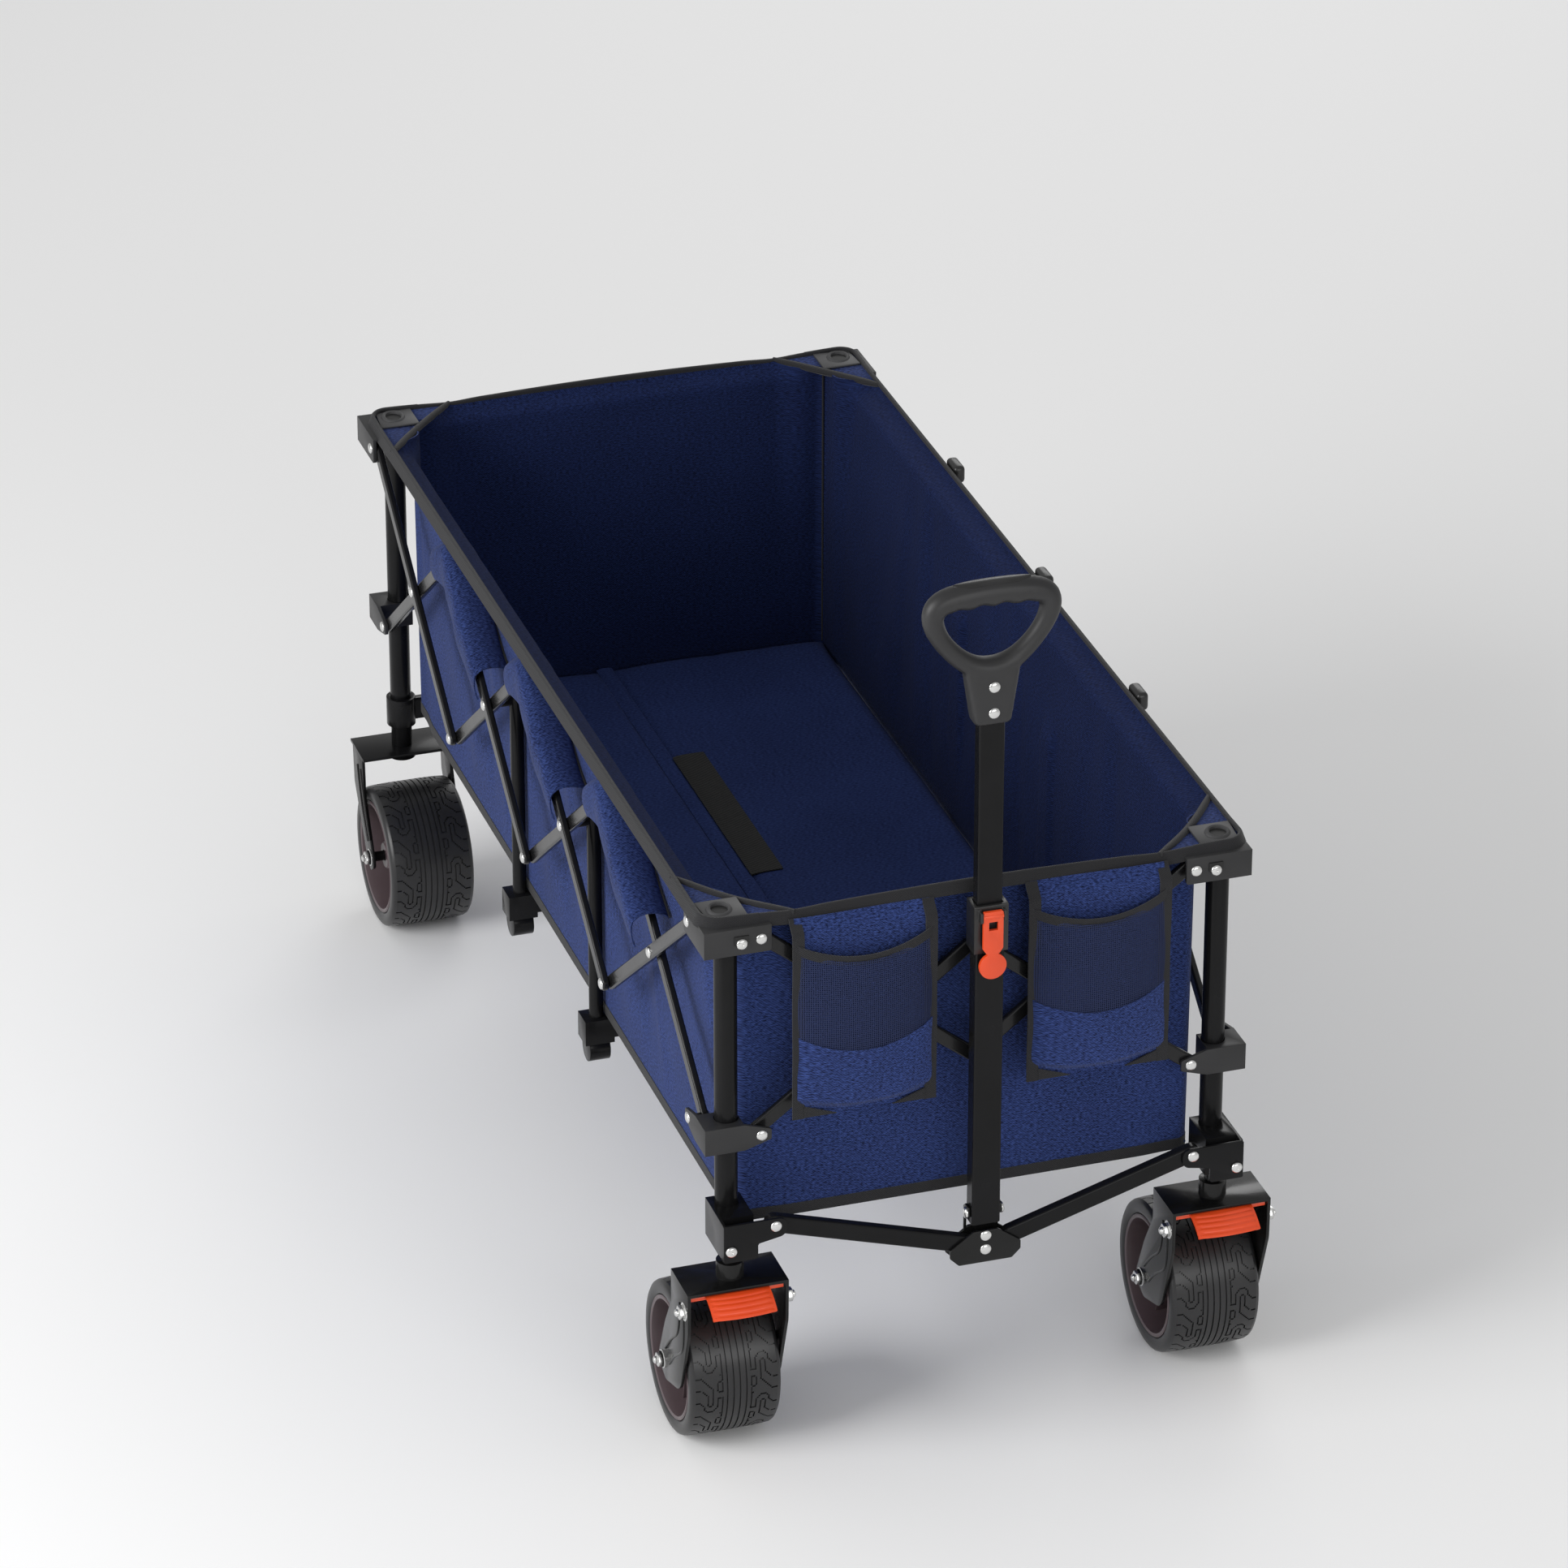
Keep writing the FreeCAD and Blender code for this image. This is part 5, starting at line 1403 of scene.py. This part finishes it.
hinge = two_faced(cloth_grid(10, 80, hinge_place), NAVY_MAT, NAVY_MAT, (0, 0, -1), 1.0 * MM)
let_ride(hinge, "mat_hinge", "front_left_frame", (0, 1, 0), (-RIM_X, -PIN_Y, RIM_Z))
cloth_pieces.append((hinge, None))
cover = BVHTree.FromPolygons(
    [vertex.co - SHIFT for vertex in half.data.vertices],
    [tuple(face.vertices) for face in half.data.polygons],
)


def hook_place(u, v):
    """On the cloth of the right half, beside the fold line."""
    x, y = (-19 + 41 * u) * MM, (62 + 310 * v) * MM
    top = cover.find_nearest(Vector((x, y, mat_high.z + 20 * MM)))[0]
    return Vector((x, y, top.z + 2.0 * MM))


strip = cloth_grid(6, 60, hook_place)
apply_modifier(strip, "SMOOTH", factor=0.5, iterations=2)
two_faced(strip, HOOK, HOOK, (0, 0, -1), 1.6 * MM)
let_ride(strip, "hook_strip", "front_right_frame", (0, 1, 0), (RIM_X, -PIN_Y, RIM_Z))


# ---- front pouches ---------------------------------------------------------------------------

pouch_low, pouch_high = box("front_pockets")
POUCH_TOP = RIM_Z - 3 * MM
POUCH_IN, POUCH_OUT = 56 * MM, pouch_high.x
front_body, front_axis, front_anchor = fold_of("front")
hang_y = -(RIM_Y + 4 * MM)
FACE_Y = pouch_low.y + 17 * MM
for side, sx in SIDES.items():
    wide = POUCH_OUT - POUCH_IN

    def across(u, sx=sx):
        return sx * (POUCH_IN + wide * u)

    def back_place(u, v):
        z = pouch_low.z + (POUCH_TOP - pouch_low.z) * v
        y = FACE_Y + 2.5 * MM - (FACE_Y + 2.5 * MM - hang_y) * ease((v - 0.93) / 0.07)
        return Vector((across(u), y + 1.2 * MM * math.sin(u * 5 + v * 7), z))

    back = two_faced(cloth_grid(40, 60, back_place), NAVY, NAVY, (0, 1, 0), 1.2 * MM)
    let_ride(back, f"{side}_pouch_back", front_body, front_axis, front_anchor)
    cloth_pieces.append((back, (wide, POUCH_TOP - pouch_low.z)))
    if side == "left":
        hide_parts("front_pockets")

    def crescent(u, level, depth):
        """An edge that hangs down between the two side bindings."""
        return level - depth * math.sin(math.pi * u) ** 0.8

    def bulge(u, height):
        """How far the pouch stands out from its back, for a height from 0 at the base to 1 at the top."""
        sideways = math.sin(math.pi * min(1.0, max(0.0, u))) ** 0.7
        upwards = 0.35 + 0.65 * math.sin(math.pi * min(1.0, 0.15 + 0.75 * height))
        return 15 * MM * sideways * upwards

    edge_top, cup_top, base = 612 * MM, 508 * MM, pouch_low.z + 5 * MM

    def pouch_y(u, z):
        return FACE_Y - 0.8 * MM - bulge(u, (z - base) / (edge_top - base))

    def net_place(u, v):
        low_z = crescent(u, cup_top - 6 * MM, 20 * MM)
        high_z = crescent(u, edge_top, 20 * MM)
        z = low_z + (high_z - low_z) * v
        return Vector((across(u), pouch_y(u, z) - 0.6 * MM, z))

    net = two_faced(cloth_grid(40, 40, net_place), MESH, MESH, (0, 1, 0), 0.5 * MM)
    let_ride(net, f"{side}_pouch_net", front_body, front_axis, front_anchor)
    cloth_pieces.append((net, None))

    def cup_place(u, v):
        top_z = crescent(u, cup_top, 20 * MM)
        low_z = base + 12 * MM * (1 - math.sin(math.pi * u) ** 0.6)
        z = low_z + (top_z - low_z) * v
        y = pouch_y(u, z) - 1.6 * MM
        y += (FACE_Y - y) * ease((0.16 - v) / 0.16) * 0.9
        return Vector((across(u), y + 0.5 * MM * math.sin(u * 17 + v * 4), z))

    cup = two_faced(cloth_grid(40, 36, cup_place), NAVY, NAVY_SHADED_INSIDE, (0, 1, 0), 1.2 * MM)
    let_ride(cup, f"{side}_pouch_cup", front_body, front_axis, front_anchor)
    cloth_pieces.append((cup, None))
    bands = []
    elastic = cloth_grid(40, 3, lambda u, v: Vector((
        across(u), pouch_y(u, edge_top) - 1.6 * MM, crescent(u, edge_top, 20 * MM) - 5 * MM + 11 * MM * v,
    )))
    bands.append(two_faced(elastic, TAPE, TAPE, (0, 1, 0), 1.6 * MM))
    for edge, inner in ((0, 1), (1, -1)):
        at = across(edge)
        turn = sx * inner

        def band_place(u, v, at=at, turn=turn):
            z = pouch_low.z + (POUCH_TOP - pouch_low.z) * v
            y = FACE_Y - 2.5 * MM - (FACE_Y - 2.5 * MM - hang_y) * ease((v - 0.93) / 0.07)
            return Vector((at + turn * (-5 + 13 * u) * MM, y + 0.6 * MM * math.sin(v * 14), z))

        band = two_faced(cloth_grid(4, 50, band_place), TAPE, TAPE, (0, 1, 0), 2.2 * MM)
        bands.append(band)

        def foot_place(u, v, at=at, turn=turn):
            z = pouch_low.z + 1 * MM + 13 * MM * v * (1 - u)
            return Vector((at + turn * (8 + 36 * u) * MM, FACE_Y - 3 * MM, z))

        bands.append(clean(two_faced(clean(cloth_grid(10, 4, foot_place)), TAPE, TAPE, (0, 1, 0), 1.8 * MM)))
    trim = join(bands)
    dress(trim, TAPE)
    let_ride(trim, f"{side}_pouch_binding", front_body, front_axis, front_anchor)

for piece, flat in cloth_pieces:
    area = area_of(piece)
    if flat is None:
        low = [min(vertex.co[i] for vertex in piece.data.vertices) for i in range(3)]
        high = [max(vertex.co[i] for vertex in piece.data.vertices) for i in range(3)]
        flat = sorted(b - a for a, b in zip(low, high))[1:]
    long = max(flat)
    wide = max(min(flat), 1.002 * area / long)
    hung = "hung" if "pouch" in piece.name or "flap" in piece.name else "stretched"


# ---- screws and slots on the front brackets --------------------------------------------------

for side, sx in SIDES.items():
    body = f"front_{side}_frame"
    face = edge_of(f"front_{side}_top_bracket", 1, -1)
    # the slot is a dark block set into the bracket's face: painted shade of its depth
    slot = rounded_block(
        (min(sx * 256 * MM, sx * 272 * MM), face - 0.3 * MM, TOP_PIN_Z - 3 * MM),
        (max(sx * 256 * MM, sx * 272 * MM), face + 3 * MM, TOP_PIN_Z + 7 * MM), 0.2 * MM, 1,
    )
    finish_piece(slot, f"front_{side}_bracket_slot", HOLE_SHADE, body)
    low_screw_z = joint_place("left_lower_link_pivot").z - 22 * MM
    screws = [
        cross_screw((sx * 264 * MM, face - 0.2 * MM, TOP_PIN_Z - 2 * MM), (0, -1, 0)),
        cross_screw((sx * 286 * MM, edge_of(f"front_{side}_post", 1, -1), low_screw_z), (0, -1, 0)),
    ]
    finish_piece(join(screws), f"front_{side}_screws", ZINC, body, 50)


# ---- floor and light -------------------------------------------------------------------------

bpy.ops.object.select_all(action="DESELECT")
bpy.ops.mesh.primitive_plane_add(size=60, location=(0, 0, 0))
ground = bpy.context.active_object
ground.name = "ground"
GROUND, ground_tree, ground_shader = new_finish("pale_ground", Roughness=0.9, Specular_IOR_Level=0.1)
ground_shader.inputs["Base Color"].default_value = (0.96, 0.96, 0.96, 1)
dress(ground, GROUND)

world = bpy.data.worlds.new("studio")
world.use_nodes = True
world.node_tree.nodes["Background"].inputs["Color"].default_value = (1, 1, 1, 1)
world.node_tree.nodes["Background"].inputs["Strength"].default_value = 0.5
bpy.context.scene.world = world


def area_light(name, place, aim, size, power):
    light = bpy.data.lights.new(name, "AREA")
    light.shape = "RECTANGLE"
    light.size, light.size_y = size
    light.energy = power
    lamp = bpy.data.objects.new(name, light)
    bpy.context.scene.collection.objects.link(lamp)
    lamp.location = place
    lamp.rotation_euler = (Vector(aim) - Vector(place)).to_track_quat("-Z", "Y").to_euler()
    return lamp


area_light("left_window", (-4.5, -1.2, 2.6), (0, 0, 0.4), (3.0, 2.6), 175)
area_light("front_fill", (0.5, -5.5, 2.2), (0, 0, 0.4), (3.5, 1.6), 62)
area_light("back_fill", (2.5, 4.5, 3.0), (0, 0, 0.4), (2.5, 1.5), 36)


bpy.context.scene.view_settings.view_transform = "Standard"
